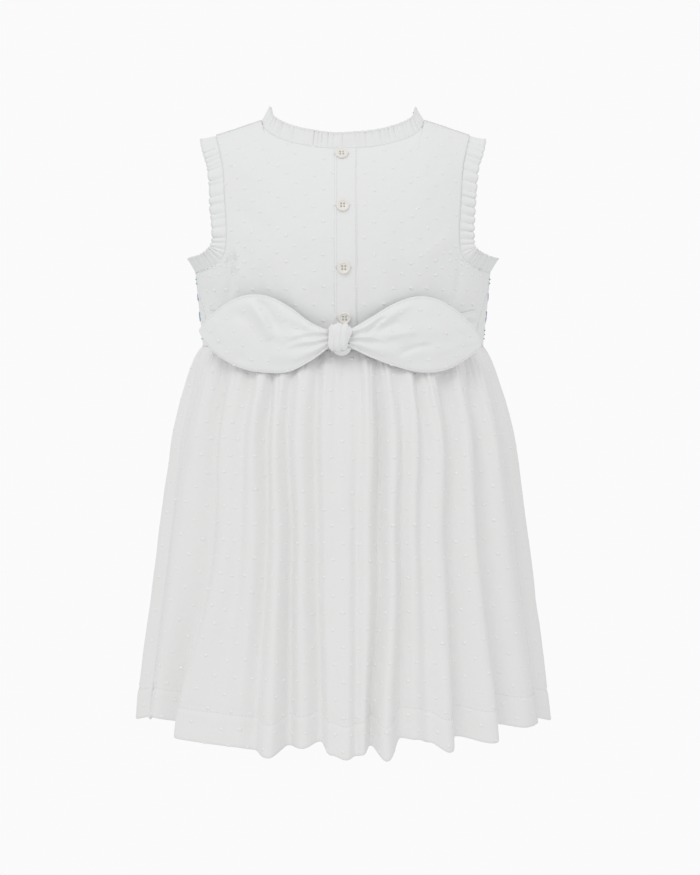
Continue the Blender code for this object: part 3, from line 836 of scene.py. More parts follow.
def tuft_tree() -> bpy.types.NodeTree:
    """Small tufts woven into cloth in staggered rows, placed by the cloth's flat map.

    Returns:
        The tree.
    """
    tree, add, given = geometry_tree(
        "woven_tufts",
        (
            ("Width", "NodeSocketFloat", 0.3),
            ("Length", "NodeSocketFloat", 0.3),
            ("Columns", "NodeSocketInt", 20),
            ("Rows", "NodeSocketInt", 20),
            ("Centre", "NodeSocketVector", (0, 0, 0)),
            ("Stagger", "NodeSocketFloat", 0.0075),
            ("Tuft Size", "NodeSocketVector", (0.0015, 0.001, 0.0003)),
            ("Seed", "NodeSocketInt", 1),
            ("Material", "NodeSocketMaterial", None),
        ),
    )
    socket = given.outputs
    grid = add.add(
        "GeometryNodeMeshGrid",
        Size_X=socket["Width"],
        Size_Y=socket["Length"],
        Vertices_X=socket["Columns"],
        Vertices_Y=socket["Rows"],
    )
    index = add.add("GeometryNodeInputIndex").outputs[0]
    row = add.math("MODULO", index, socket["Rows"])
    odd = add.math("MODULO", row, 2.0)
    shift = add.add("ShaderNodeCombineXYZ", X=add.math("MULTIPLY", odd, socket["Stagger"]))
    jitter = add.add(
        "FunctionNodeRandomValue",
        {"data_type": "FLOAT_VECTOR"},
        Min=(-0.0007, -0.0006, 0.0),
        Max=(0.0007, 0.0006, 0.0),
        Seed=socket["Seed"],
    )
    uneven = add.vector_math("ADD", shift.outputs[0], jitter.outputs[0])
    moved = add.vector_math("ADD", uneven, socket["Centre"])
    laid = add.add("GeometryNodeSetPosition", Geometry=grid.outputs["Mesh"], Offset=moved)
    here = add.add("GeometryNodeInputPosition").outputs[0]
    stored = add.add(
        "GeometryNodeStoreNamedAttribute",
        {"data_type": "FLOAT_VECTOR", "domain": "POINT"},
        Geometry=laid.outputs[0],
        Name="flat",
        Value=here,
    )
    vector = {"data_type": "FLOAT_VECTOR"}
    kind = "GeometryNodeInputNamedAttribute"
    flat, cloth, weft = (add.add(kind, vector, Name=name).outputs[0] for name in ("flat", "cloth", "weft"))
    samples = [
        add.add(
            "GeometryNodeSampleUVSurface",
            vector,
            Mesh=socket["Geometry"],
            Value=value,
            UV_Map=cloth,
            Sample_UV=flat,
        )
        for value in (here, add.add("GeometryNodeInputNormal").outputs[0], weft)
    ]
    position, normal, along = (sample.outputs["Value"] for sample in samples)
    valid = samples[0].outputs["Is Valid"]
    invalid = add.add("FunctionNodeBooleanMath", {"operation": "NOT"}, _0=valid).outputs[0]
    kept = add.add(
        "GeometryNodeDeleteGeometry", {"domain": "POINT"}, Geometry=stored.outputs[0], Selection=invalid
    )
    upright = add.add("FunctionNodeAlignRotationToVector", {"axis": "Z"}, Vector=normal).outputs[0]
    turned = add.add(
        "FunctionNodeAlignRotationToVector", {"axis": "X", "pivot_axis": "Z"}, Rotation=upright, Vector=along
    )
    angle = add.add(
        "FunctionNodeRandomValue",
        {"data_type": "FLOAT"},
        Min=-0.5,
        Max=0.2,
        Seed=add.math("ADD", socket["Seed"], 7.0),
    )
    angle_value = next(item for item in angle.outputs if item.enabled)
    rotation = spun(add, turned.outputs[0], (0.0, 0.0, 1.0), angle_value)
    size = add.add(
        "FunctionNodeRandomValue",
        {"data_type": "FLOAT_VECTOR"},
        Min=(0.8, 0.8, 0.85),
        Max=(1.15, 1.2, 1.1),
        Seed=add.math("ADD", socket["Seed"], 3.0),
    )
    spots = add.add("GeometryNodeSetPosition", Geometry=kept.outputs[0], Position=position)
    tuft = add.add("GeometryNodeMeshUVSphere", Segments=8, Rings=5, Radius=1.0)
    copies = add.add(
        "GeometryNodeInstanceOnPoints",
        Points=spots.outputs[0],
        Instance=tuft.outputs["Mesh"],
        Rotation=rotation,
        Scale=add.vector_math("MULTIPLY", size.outputs[0], socket["Tuft Size"]),
    )
    finish_tree(add, copies.outputs[0], socket["Material"])
    return tree


def stitch_tree() -> bpy.types.NodeTree:
    """Stitches along the edges of a mesh: short lengths of thread, one at each step.

    Returns:
        The tree.
    """
    tree, add, given = geometry_tree(
        "stitches",
        (
            ("Pitch", "NodeSocketFloat", 0.0026),
            ("Stitch Length", "NodeSocketFloat", 0.0019),
            ("Thread", "NodeSocketFloat", 0.00022),
            ("Slant", "NodeSocketFloat", 0.0),
            ("Material", "NodeSocketMaterial", None),
        ),
    )
    socket = given.outputs
    line = add.add("GeometryNodeMeshToCurve", Mesh=socket["Geometry"])
    stepped = add.add(
        "GeometryNodeResampleCurve", {"mode": "LENGTH"}, Curve=line.outputs[0], Length=socket["Pitch"]
    )
    tangent = add.add("GeometryNodeInputTangent").outputs[0]
    aimed = add.add("FunctionNodeAlignRotationToVector", {"axis": "Z"}, Vector=tangent)
    slanted = spun(add, aimed.outputs[0], (1.0, 0.0, 0.0), socket["Slant"])
    half = add.math("MULTIPLY", socket["Stitch Length"], 0.5)
    size = add.add("ShaderNodeCombineXYZ", X=socket["Thread"], Y=socket["Thread"], Z=half)
    thread = add.add("GeometryNodeMeshUVSphere", Segments=5, Rings=4, Radius=1.0)
    copies = add.add(
        "GeometryNodeInstanceOnPoints",
        Points=stepped.outputs[0],
        Instance=thread.outputs["Mesh"],
        Rotation=slanted,
        Scale=size.outputs[0],
    )
    finish_tree(add, copies.outputs[0], socket["Material"])
    return tree


def grown(
    name: str, source: bpy.types.Mesh, tree: bpy.types.NodeTree, values: dict[str, object]
) -> bpy.types.Object:
    """What a tree makes from a mesh, as a plain mesh object.

    Args:
        name: The new object's name.
        source: The mesh that the tree starts from.
        tree: The tree.
        values: Its inputs by name.

    Returns:
        The object, with no modifier.
    """
    seedling = scene_object(name + "_source", source)
    modifier = seedling.modifiers.new("tree", "NODES")
    modifier.node_group = tree
    for item in tree.interface.items_tree:
        if item.item_type == "SOCKET" and item.in_out == "INPUT" and item.name in values:
            modifier[item.identifier] = values[item.name]
    seedling.update_tag()
    evaluated = seedling.evaluated_get(bpy.context.evaluated_depsgraph_get())
    mesh = bpy.data.meshes.new_from_object(evaluated)
    mesh.name = name
    bpy.data.objects.remove(seedling)
    return scene_object(name, mesh)


@dataclass
class Trimmings:
    """Makes the small things that repeat: tufts on panels and stitches along lines."""

    tuft_spacing: float = 15 * MM
    row_height: float = 13 * MM
    tuft_size: tuple[float, float, float] = (1.75 * MM, 1.05 * MM, 0.42 * MM)
    tufts: bpy.types.NodeTree = field(default_factory=tuft_tree)
    stitches: bpy.types.NodeTree = field(default_factory=stitch_tree)

    def tuft_panel(self, panel: bpy.types.Object, grid: ClothGrid, seed: int, slot: str) -> None:
        """Tufts all over a panel.

        Args:
            panel: The panel of cloth.
            grid: Its shape.
            seed: Chooses the small unevenness.
            slot: The material slot of the panel; not used.
        """
        low, high = grid.flat.reshape(-1, 2).min(axis=0), grid.flat.reshape(-1, 2).max(axis=0)
        columns = int((high[0] - low[0]) / self.tuft_spacing) + 2
        rows = int((high[1] - low[1]) / self.row_height) + 2
        middle = (low + high) / 2
        values = {
            "Width": (columns - 1) * self.tuft_spacing,
            "Length": (rows - 1) * self.row_height,
            "Columns": columns,
            "Rows": rows,
            "Centre": (float(middle[0]), float(middle[1]), 0.0),
            "Stagger": self.tuft_spacing / 2,
            "Tuft Size": self.tuft_size,
            "Seed": seed,
            "Material": TUFT_YARN.material(),
        }
        piece = grown(panel.name + "_tufts", panel.data.copy(), self.tufts, values)
        place_piece(piece, TUFT_YARN)

    def stitch_line(
        self,
        name: str,
        lines: Sequence[np.ndarray],
        finish: YarnFinish = SEWING_THREAD,
        pitch: float = 2.6 * MM,
        length: float = 2.0 * MM,
        thread: float = 0.2 * MM,
        slant: float = 0.0,
    ) -> None:
        """Stitches along one or more lines.

        Args:
            name: The piece's name.
            lines: Points of each line, in order.
            finish: The thread.
            pitch: Distance from one stitch to the next.
            length: Length of a stitch.
            thread: Radius of the thread.
            slant: How far each stitch leans from the line, in radians.
        """
        vertices, edges = [], []
        for line in lines:
            start = len(vertices)
            vertices += line.tolist()
            edges += [(start + i, start + i + 1) for i in range(len(line) - 1)]
        mesh = bpy.data.meshes.new(name + "_lines")
        mesh.from_pydata(vertices, edges, [])
        values = {
            "Pitch": pitch,
            "Stitch Length": length,
            "Thread": thread,
            "Slant": slant,
            "Material": finish.material(),
        }
        place_piece(grown(name, mesh, self.stitches, values), finish)


# --- Bodice ---


class ArmholeRow(NamedTuple):
    """A height of the armhole seam and its half distances from the middle, in mm."""

    z: float
    back_x: float
    front_x: float


ARMHOLE = (
    ArmholeRow(-38, 95, 94),
    ArmholeRow(-66, 92.5, 90),
    ArmholeRow(-90, 91, 89),
    ArmholeRow(-106, 92, 91),
    ArmholeRow(-113.5, 96, 96),
    ArmholeRow(-118.5, 103, 103),
    ArmholeRow(-122, 111, 111),
)
LOWER_SIDE = ((88, -124), (80, -139), (73, -154), (69, -168), (68, -181.85))


class Crease(NamedTuple):
    """A soft trough or ridge of a panel: its ends and width in mm, and how far it stands out."""

    x0: float
    z0: float
    x1: float
    z1: float
    width: float
    out: float


BACK_CREASES = (
    Crease(-28, -66, -27, -128, 4.5, -0.9),
    Crease(-20, -60, -19, -120, 5.0, 0.5),
    Crease(-89, -96, -91, -150, 2.6, -1.6),
    Crease(-84, -100, -84, -145, 4.0, 0.8),
    Crease(-63, -6, -46, -20, 2.2, -0.7),
    Crease(-60, -3, -41, -15, 2.0, 0.6),
    Crease(-86, -34, -60, -58, 6.0, 0.7),
    Crease(-90, -70, -52, -98, 7.0, -0.7),
    Crease(-50, -118, -30, -160, 7.0, 0.8),
    Crease(-70, -120, -60, -165, 6.0, -0.7),
    Crease(40, -70, 44, -150, 7.0, -0.7),
    Crease(62, -6, 44, -22, 2.2, -0.6),
    Crease(86, -36, 62, -60, 6.0, 0.6),
    Crease(89, -88, 58, -112, 6.0, 0.8),
    Crease(90, -104, 86, -150, 3.0, -1.2),
    Crease(72, -110, 66, -168, 6.0, -0.8),
    Crease(26, -110, 30, -165, 6.0, 0.6),
)
FRONT_CREASES = (
    Crease(-84, -40, -48, -78, 7.0, 0.9),
    Crease(84, -44, 50, -84, 7.0, 0.8),
    Crease(-86, -90, -52, -106, 5.0, -0.8),
    Crease(87, -84, 60, -108, 5.0, -0.9),
    Crease(-18, -60, -22, -106, 6.0, 0.6),
    Crease(24, -58, 20, -108, 6.0, 0.5),
)


def crease_relief(points: np.ndarray, creases: Sequence[Crease]) -> np.ndarray:
    """How far creases lift each point of a panel.

    Args:
        points: Points of the panel.
        creases: The panel's creases.

    Returns:
        Lengths in metres, outwards.
    """
    place = points[..., (0, 2)] / MM
    relief = np.zeros(points.shape[:-1])
    for crease in creases:
        start = np.array((crease.x0, crease.z0))
        run = np.array((crease.x1, crease.z1)) - start
        share = ((place - start) @ run) / (run @ run)
        bow = 0.06 * np.linalg.norm(run) * np.sin(np.pi * np.clip(share, 0, 1))
        side = np.array((-run[1], run[0])) / np.linalg.norm(run)
        away = (place - start) @ side - bow
        fade = np.sin(np.pi * np.clip(share, 0, 1)) ** 0.7
        relief += crease.out * MM * fade * np.exp(-((away / crease.width) ** 2))
    return relief


def coons(top: np.ndarray, bottom: np.ndarray, inner: np.ndarray, outer: np.ndarray) -> np.ndarray:
    """Angles and heights all over a four-sided panel.

    Args:
        top: Those of its top edge.
        bottom: Those of its bottom edge.
        inner: Those of its first side, downwards.
        outer: Those of its other side.

    Returns:
        Rows and columns of angles and heights.
    """
    u = np.linspace(0, 1, len(top))[None, :, None]
    v = np.linspace(0, 1, len(inner))[:, None, None]
    ruled = (1 - v) * top[None] + v * bottom[None] + (1 - u) * inner[:, None] + u * outer[:, None]
    corners = (1 - v) * ((1 - u) * top[0] + u * top[-1]) + v * ((1 - u) * bottom[0] + u * bottom[-1])
    return ruled - corners


def mirrored(vectors: np.ndarray) -> np.ndarray:
    """The same on the other side of the middle."""
    return vectors * np.array([-1, 1, 1])


@dataclass
class PanelEdges:
    """The neck and armhole edges of a bodice panel, which the frills are sewn to."""

    neck: np.ndarray
    armhole: np.ndarray


@dataclass
class Bodice:
    """The two backs, the smocked front, and their seams."""

    form: BodyForm
    trimmings: Trimmings
    seam_gap: float = -0.3 * MM
    band_overlap: float = 1.4 * MM
    thickness: float = 0.5 * MM
    neck_columns: int = 46
    last_turn: float = math.radians(75)
    shoulder_columns: int = 24
    rows_per_step: int = 10
    armhole_steps: int = len(ARMHOLE) + 1
    smocking_top: float = -119 * MM
    smocking_from_back: float = math.radians(83)
    girth_radius: float = 0.118
    pleat_pitch: float = 3.6 * MM
    pleat_depth: float = 0.95 * MM
    # Painted shade in hollows and painted highlight on crests, per metre of relief.
    hollow_painted_shade: float = 0.03 / MM
    noise_width: float = 0.24
    noise_height: float = 0.19
    soft_unevenness: float = 0.35 * MM
    fine_unevenness: float = 0.12 * MM
    seam_columns: int = 6
    pucker_pitch: float = 0.9 * MM
    pucker_height: float = 0.08 * MM
    cable_heights: tuple[float, ...] = (6.0, 9.3, 12.6, 50.0, 53.3)
    floss_lift: float = 0.45 * MM
    edges: dict[str, PanelEdges] = field(default_factory=dict)

    def half_panel(self, inner_x: float, front: bool) -> np.ndarray:
        """Angles and heights of half a panel.

        Args:
            inner_x: Its inner edge's distance from the middle.
            front: Whether it is half of the front.

        Returns:
            Rows and columns, from the inner edge to the side seam.
        """
        form = self.form
        drop = form.front_neck_drop if front else form.back_neck_drop
        turns = np.linspace(math.asin(inner_x / form.neck_half_width), self.last_turn, self.neck_columns)
        turns = np.append(turns, math.pi / 2)
        neck_x = form.neck_half_width * np.sin(turns)
        shoulder_x = np.linspace(form.neck_half_width, form.shoulder_tip_x, self.shoulder_columns + 1)[1:]
        top_x = np.concatenate([neck_x, shoulder_x])
        top_z = np.concatenate([form.neck_height(neck_x, drop), form.shoulder_height(shoulder_x)])
        top_z = np.minimum(top_z, form.shoulder_height(top_x))
        rows = [(float(form.angle_of(form.shoulder_tip_x, top_z[-1])), float(top_z[-1]))]
        for row in ARMHOLE:
            x, z = (row.front_x if front else row.back_x) * MM, row.z * MM
            rows.append((float(form.angle_of(x, z)), z))
        rows += [(math.radians(angle), z * MM) for angle, z in LOWER_SIDE]
        if front:
            rows = [*rows[: self.armhole_steps], *((math.pi - a, z) for a, z in rows[self.armhole_steps :])]
        fine = np.linspace(0, len(rows) - 1, (len(rows) - 1) * self.rows_per_step + 1)
        corner = self.armhole_steps
        columns = []
        for column in (0, 1):
            arm = through(range(corner + 1), [row[column] for row in rows[: corner + 1]])
            side = through(range(corner, len(rows)), [row[column] for row in rows[corner:]])
            columns.append(np.where(fine <= corner, arm(fine), side(fine)))
        outer = np.stack(columns, axis=-1)
        inner_z = np.linspace(top_z[0], outer[-1, 1], len(fine))
        waist_angles = np.linspace(form.angle_of(inner_x, outer[-1, 1]), outer[-1, 0], len(top_x))
        top = np.stack([form.angle_of(top_x, top_z), top_z], axis=-1)
        inner = np.stack([form.angle_of(inner_x + 0 * inner_z, inner_z), inner_z], axis=-1)
        bottom = np.stack([waist_angles, outer[-1, 1] + 0 * waist_angles], axis=-1)
        grid = coons(top, bottom, inner, outer)
        if front:
            grid[..., 0] = math.pi - grid[..., 0]
        return grid

    def half_points(self, inner_x: float, front: bool) -> np.ndarray:
        """Points of half a panel on the right side of the body, drawn in from its seams.

        Args:
            inner_x: Its inner edge's distance from the middle.
            front: Whether it is half of the front.

        Returns:
            Rows and columns of points.
        """
        grid = self.half_panel(inner_x, front)
        points = self.form.point(grid[..., 0], grid[..., 1])
        points[0, self.neck_columns :, 1] = self.seam_gap / 2 if front else -self.seam_gap / 2
        seam = slice(self.armhole_steps * self.rows_per_step, None)
        points[seam, -1] += self.seam_gap / 2 * unit(points[seam, -2] - points[seam, -1])
        return points

    def flat_map(self, points: np.ndarray) -> np.ndarray:
        """Flat places of a panel: round the body from its middle, and up from the waist.

        Args:
            points: Rows and columns of points.

        Returns:
            Two numbers for each point, in metres.
        """
        round_body = self.girth_radius * np.arcsin(np.clip(points[..., 0] / self.girth_radius, -1, 1))
        steps = np.linalg.norm(np.diff(points, axis=0), axis=-1)
        below = np.cumsum(steps[::-1], axis=0)[::-1]
        height = np.concatenate([below, np.zeros((1, points.shape[1]))])
        return np.stack([round_body, height], axis=-1)

    def round_front(self, points: np.ndarray) -> np.ndarray:
        """Distance round the body from the centre front."""
        return self.girth_radius * np.arctan2(points[..., 0], 1.5 * points[..., 1])

    def smocking(self, points: np.ndarray) -> np.ndarray:
        """Relief of the fine pleats that the embroidery draws together.

        Args:
            points: Points of the front.

        Returns:
            Lengths in metres, outwards.
        """
        place, z = self.round_front(points), points[..., 2]
        slip = SoftNoise(41, 60, 12).at((place + 0.25) / 0.5, (z + 0.19) / 0.08)
        wave = np.abs(np.sin(np.pi * place / self.pleat_pitch + 0.5 * slip)) ** 0.7
        rise = eased(np.clip((self.smocking_top + 8 * MM - z) / (16 * MM), 0, 1))
        return self.pleat_depth * (wave - 0.6) * rise

    def panel(
        self, name: str, points: np.ndarray, creases: Sequence[Crease], smocked: bool, seed: int
    ) -> None:
        """A dressed panel on its smooth points.

        Args:
            name: The frame node that it stands for.
            points: Points on the body form.
            creases: Its creases.
            smocked: Whether its lower part is smocked.
            seed: Chooses its small unevenness.
        """
        normals = self.form.normal(points)
        relief = crease_relief(points, creases)
        x, z = points[..., 0], points[..., 2]
        across = (x + self.noise_width / 2) / self.noise_width
        up = (z + self.noise_height) / self.noise_height
        relief = relief + self.soft_unevenness * SoftNoise(seed, 16, 12).at(across, up)
        relief = relief + self.fine_unevenness * SoftNoise(seed + 1, 60, 40).at(across, up)
        if smocked:
            relief = relief + self.smocking(points)
        near_seam = np.minimum(np.arange(points.shape[1])[::-1], self.seam_columns) / self.seam_columns
        relief = relief * (0.15 + 0.85 * near_seam)[None, :]
        puckers = np.cos(z / self.pucker_pitch) * bump(near_seam[None, :] - 0.3, 0.4) * self.pucker_height
        shaped = points + normals * (relief + puckers)[..., None]
        grid = ClothGrid(shaped, self.flat_map(points), normals)
        panel = sheet_of_cloth(
            name.replace("bodice_", "bodice_cloth_"),
            grid,
            BODICE_COTTON,
            self.thickness,
            (name,),
            # Painted shade in the hollows and painted highlight on the crests of creases, unevenness and
            # smocking.
            1 + self.hollow_painted_shade * relief,
        )
        self.trimmings.tuft_panel(panel, grid, seed + 2, "bodice_cotton")

    def embroidery(self) -> None:
        """Rows of cable stitch and a trellis across the smocking."""
        angles = np.linspace(self.smocking_from_back, 2 * math.pi - self.smocking_from_back, 1400)
        middle = self.form.point(angles, 0 * angles + self.form.waist_z + 25 * MM)
        place = np.concatenate([[0], np.cumsum(np.linalg.norm(np.diff(middle, axis=0), axis=1))])

        def row(z: np.ndarray | float) -> np.ndarray:
            """Points of a row on the front.

            Args:
                z: Its height.

            Returns:
                Its points, just off the pleats.
            """
            points = self.form.point(angles, np.asarray(z) + 0 * angles)
            lift = self.smocking(points) * 0.3 + self.floss_lift
            return points + self.form.normal(points) * lift[..., None]

        low = self.form.waist_z
        cables = [row(low + step * MM) for step in self.cable_heights]
        self.trimmings.stitch_line("smocking_cables", cables, SEA_FLOSS, 1.7 * MM, 2.1 * MM, 0.36 * MM, 0.35)
        zigzag = np.abs(((place / (6.8 * MM)) % 2) - 1)
        trellis = [row(low + (20 + 7.5 * zigzag) * MM), row(low + (27.5 - 7.5 * zigzag) * MM)]
        trellis += [row(low + (36 + 6.0 * zigzag) * MM)]
        self.trimmings.stitch_line("smocking_trellis", trellis, BLUE_FLOSS, 1.9 * MM, 2.2 * MM, 0.32 * MM)

    def build(self, band_left: float, band_right: float) -> None:
        """Builds the panels and keeps the edges that the frills follow.

        Args:
            band_left: The left edge of the buttonhole band.
            band_right: Its right edge.
        """
        corner = self.armhole_steps * self.rows_per_step
        for name, inner_x, side, seed in (
            ("bodice_back_right", band_right - self.band_overlap, 1, 11),
            ("bodice_back_left", -band_left - self.band_overlap, -1, 21),
        ):
            points = self.half_points(inner_x, False)
            points = mirrored(points) if side < 0 else points
            self.panel(name, points, BACK_CREASES, False, seed)
            self.edges[name] = PanelEdges(points[0, : self.neck_columns + 1], points[: corner + 1, -1])
        half = self.half_points(0, True)
        whole = np.concatenate([mirrored(half)[:, :0:-1], half], axis=1)
        self.panel("bodice_front", whole, FRONT_CREASES, True, 31)
        for name, side_half in (("bodice_front_right", half), ("bodice_front_left", mirrored(half))):
            neck, armhole = side_half[0, : self.neck_columns + 1], side_half[: corner + 1, -1]
            self.edges[name] = PanelEdges(neck, armhole)
        self.embroidery()


# --- Frills ---

FRILL_STEP = 0.62 * MM
ROLLED_EDGE = ((1.0, -0.25), (0.985, -0.75), (0.95, -0.85), (0.91, -0.8))


def evenly(line: np.ndarray, step: float) -> np.ndarray:
    """A line again, with evenly spaced points.

    Args:
        line: Points of the line.
        step: The distance between points.

    Returns:
        The new points.
    """
    along = np.concatenate([[0], np.cumsum(np.linalg.norm(np.diff(line, axis=0), axis=1))])
    wanted = np.linspace(0, along[-1], max(8, round(along[-1] / step)) + 1)
    return np.stack([np.interp(wanted, along, line[:, k]) for k in range(3)], axis=-1)


def blurred(values: np.ndarray, reach: int, closed: bool) -> np.ndarray:
    """Values along a line, each averaged with its neighbours.

    Args:
        values: A row of numbers for each point.
        reach: How many neighbours on each side count.
        closed: Whether the line's ends join.

    Returns:
        As many rows, smoother.
    """
    weights = np.hanning(2 * reach + 3)[1:-1]
    weights = weights / weights.sum()
    wide = np.pad(values, ((reach, reach), (0, 0)), mode="wrap" if closed else "edge")
    return np.stack([np.convolve(wide[:, k], weights, "valid") for k in range(values.shape[1])], axis=-1)


@dataclass
class Frill:
    """A gathered strip: small tight pleats where it is sewn, opening to uneven waves at its free edge."""

    name: str
    width: float
    wave_length: float
    wave_height: float
    seed: int
    closed: bool
    trimmings: Trimmings
    rows: int = 12
    roll_width: float = 1.3 * MM
    roll_height: float = 0.3 * MM
    thickness: float = 0.35 * MM

    def waves(self, count: int) -> np.ndarray:
        """Height of the pleats along the strip: round ridges with sharp valleys, unevenly spaced.

        Args:
            count: How many points the strip has along it.

        Returns:
            A height for each point, about -1 to 1.
        """
        length = count * FRILL_STEP
        pleats = max(3, round(length / self.wave_length))
        random = np.random.default_rng(self.seed)
        gaps = random.uniform(0.55, 1.45, pleats)
        edges = np.concatenate([[0], np.cumsum(gaps)]) / gaps.sum()
        heights = random.uniform(0.45, 1.25, pleats + 1)
        heights[-1] = heights[0]
        share = np.linspace(0, 1, count, endpoint=not self.closed)
        pleat = np.clip(np.searchsorted(edges, share, side="right") - 1, 0, pleats - 1)
        inside = (share - edges[pleat]) / (edges[pleat + 1] - edges[pleat])
        ridge = np.sin(np.pi * inside) ** 0.55
        level = heights[pleat] * (1 - inside) + heights[pleat + 1] * inside
        return (ridge * 2 - 1.1) * level

    def build(self, roots: np.ndarray, out: np.ndarray, away: np.ndarray) -> None:
        """Builds the strip and the line of stitches along its rolled edge.

        Args:
            roots: Points of its sewn edge.
            out: The direction its right side faces at each point.
            away: The direction it stands in at each point.
        """
        count = len(roots)
        wave = self.waves(count)
        place = np.linspace(0, 1, count)
        rough = SoftNoise(self.seed + 5, max(4, count // 6), 3)
        ragged = 1 + 0.035 * SoftNoise(self.seed + 9, max(3, count // 30), 1).at(place, 0 * place)
        layers = []
        for share, under in [*((float(share), 0.0) for share in np.linspace(0, 1, self.rows)), *ROLLED_EDGE]:
            amount = self.wave_height * (0.2 + 0.8 * share**0.9)
            rolled = self.roll_height * (self.width * (1 - share) < self.roll_width)
            uneven = 0.25 * MM * rough.at(place, 0 * place + share)
            lift = wave * amount + uneven + rolled + under * MM
            reach = self.width * share * ragged
            layers.append(roots + away * reach[:, None] + out * lift[:, None])
        points = np.stack(layers)
        outward = np.stack([out] * len(layers))
        grid = ClothGrid(points, flat_places(points, self.closed), outward, self.closed)
        sheet_of_cloth(self.name + "_cloth", grid, FRILL_COTTON, self.thickness, (self.name,))
        row = self.rows - 1 - max(1, round(self.roll_width / self.width * self.rows))
        line = points[row] + out * 0.12 * MM
        line = np.concatenate([line, line[:1]]) if self.closed else line
        name = self.name + "_edge_stitches"
        self.trimmings.stitch_line(name, [line], pitch=2.2 * MM, length=1.5 * MM, thread=0.13 * MM)


@dataclass
class Frills:
    """The frills of the neck and the two armholes."""

    form: BodyForm
    bodice: Bodice
    trimmings: Trimmings
    neck_height: float = 14 * MM
    armhole_width: float = 14 * MM
    underarm_droop: float = 0.32
    root_depth: float = 0.75 * MM
    root_overlap: float = 0.5 * MM

    def armhole(self, side: int) -> None:
        """The frill round one armhole.

        Args:
            side: 1 on the right and -1 on the left.
        """
        word = "right" if side > 0 else "left"
        back = self.bodice.edges["bodice_back_" + word].armhole
        front = self.bodice.edges["bodice_front_" + word].armhole
        ring = evenly(np.concatenate([back, front[-2::-1]]), FRILL_STEP)[:-1]
        ring = blurred(ring, 4, True)
        normals = unit(blurred(self.form.normal(ring), 6, True))
        along = unit(np.roll(ring, -2, axis=0) - np.roll(ring, 2, axis=0))
        away = unit(blurred(unit(np.cross(normals, along)) * side, 6, True))
        under = eased(np.clip((-95 * MM - ring[:, 2:]) / (25 * MM), 0, 1))
        lean = unit(away + (0.12 + self.underarm_droop * under) * normals)
        roots = ring - normals * self.root_depth - away * self.root_overlap
        name = "armhole_frill_" + word
        frill = Frill(name, self.armhole_width, 6.6 * MM, 1.35 * MM, 60 + side, True, self.trimmings)
        frill.build(roots, normals, lean)

    def neck(self, band: np.ndarray) -> None:
        """The frill round the neck, open at the edge of the buttonhole band.

        Args:
            band: The top edge of the buttonhole band, from left to right.
        """
        edges = self.bodice.edges
        chain = [
            edges["bodice_back_right"].neck,
            edges["bodice_front_right"].neck[::-1],
            edges["bodice_front_left"].neck,
            edges["bodice_back_left"].neck[::-1],
            band,
        ]
        points = np.concatenate([part[:-1] for part in chain[:-1]] + [chain[-1]])
        ring = blurred(evenly(points, FRILL_STEP), 4, False)
        normals = unit(blurred(self.form.normal(ring), 8, False))
        along = unit(np.gradient(ring, axis=0))
        inward = unit(np.cross(normals, along))
        rise = unit(0.55 * inward + np.array([0, 0, 0.75]))
        out = unit(np.cross(along, rise))
        out = out * np.sign((out * normals).sum(axis=-1, keepdims=True))
        roots = ring - normals * self.root_depth - inward * self.root_overlap
        frill = Frill("neck_frill", self.neck_height, 5.2 * MM, 1.15 * MM, 71, False, self.trimmings)
        frill.build(roots, out, rise)

    def build(self, band: np.ndarray) -> None:
        """Builds all three frills.

        Args:
            band: The top edge of the buttonhole band, from left to right.
        """
        self.armhole(1)
        self.armhole(-1)
        self.neck(band)


# --- Back opening ---


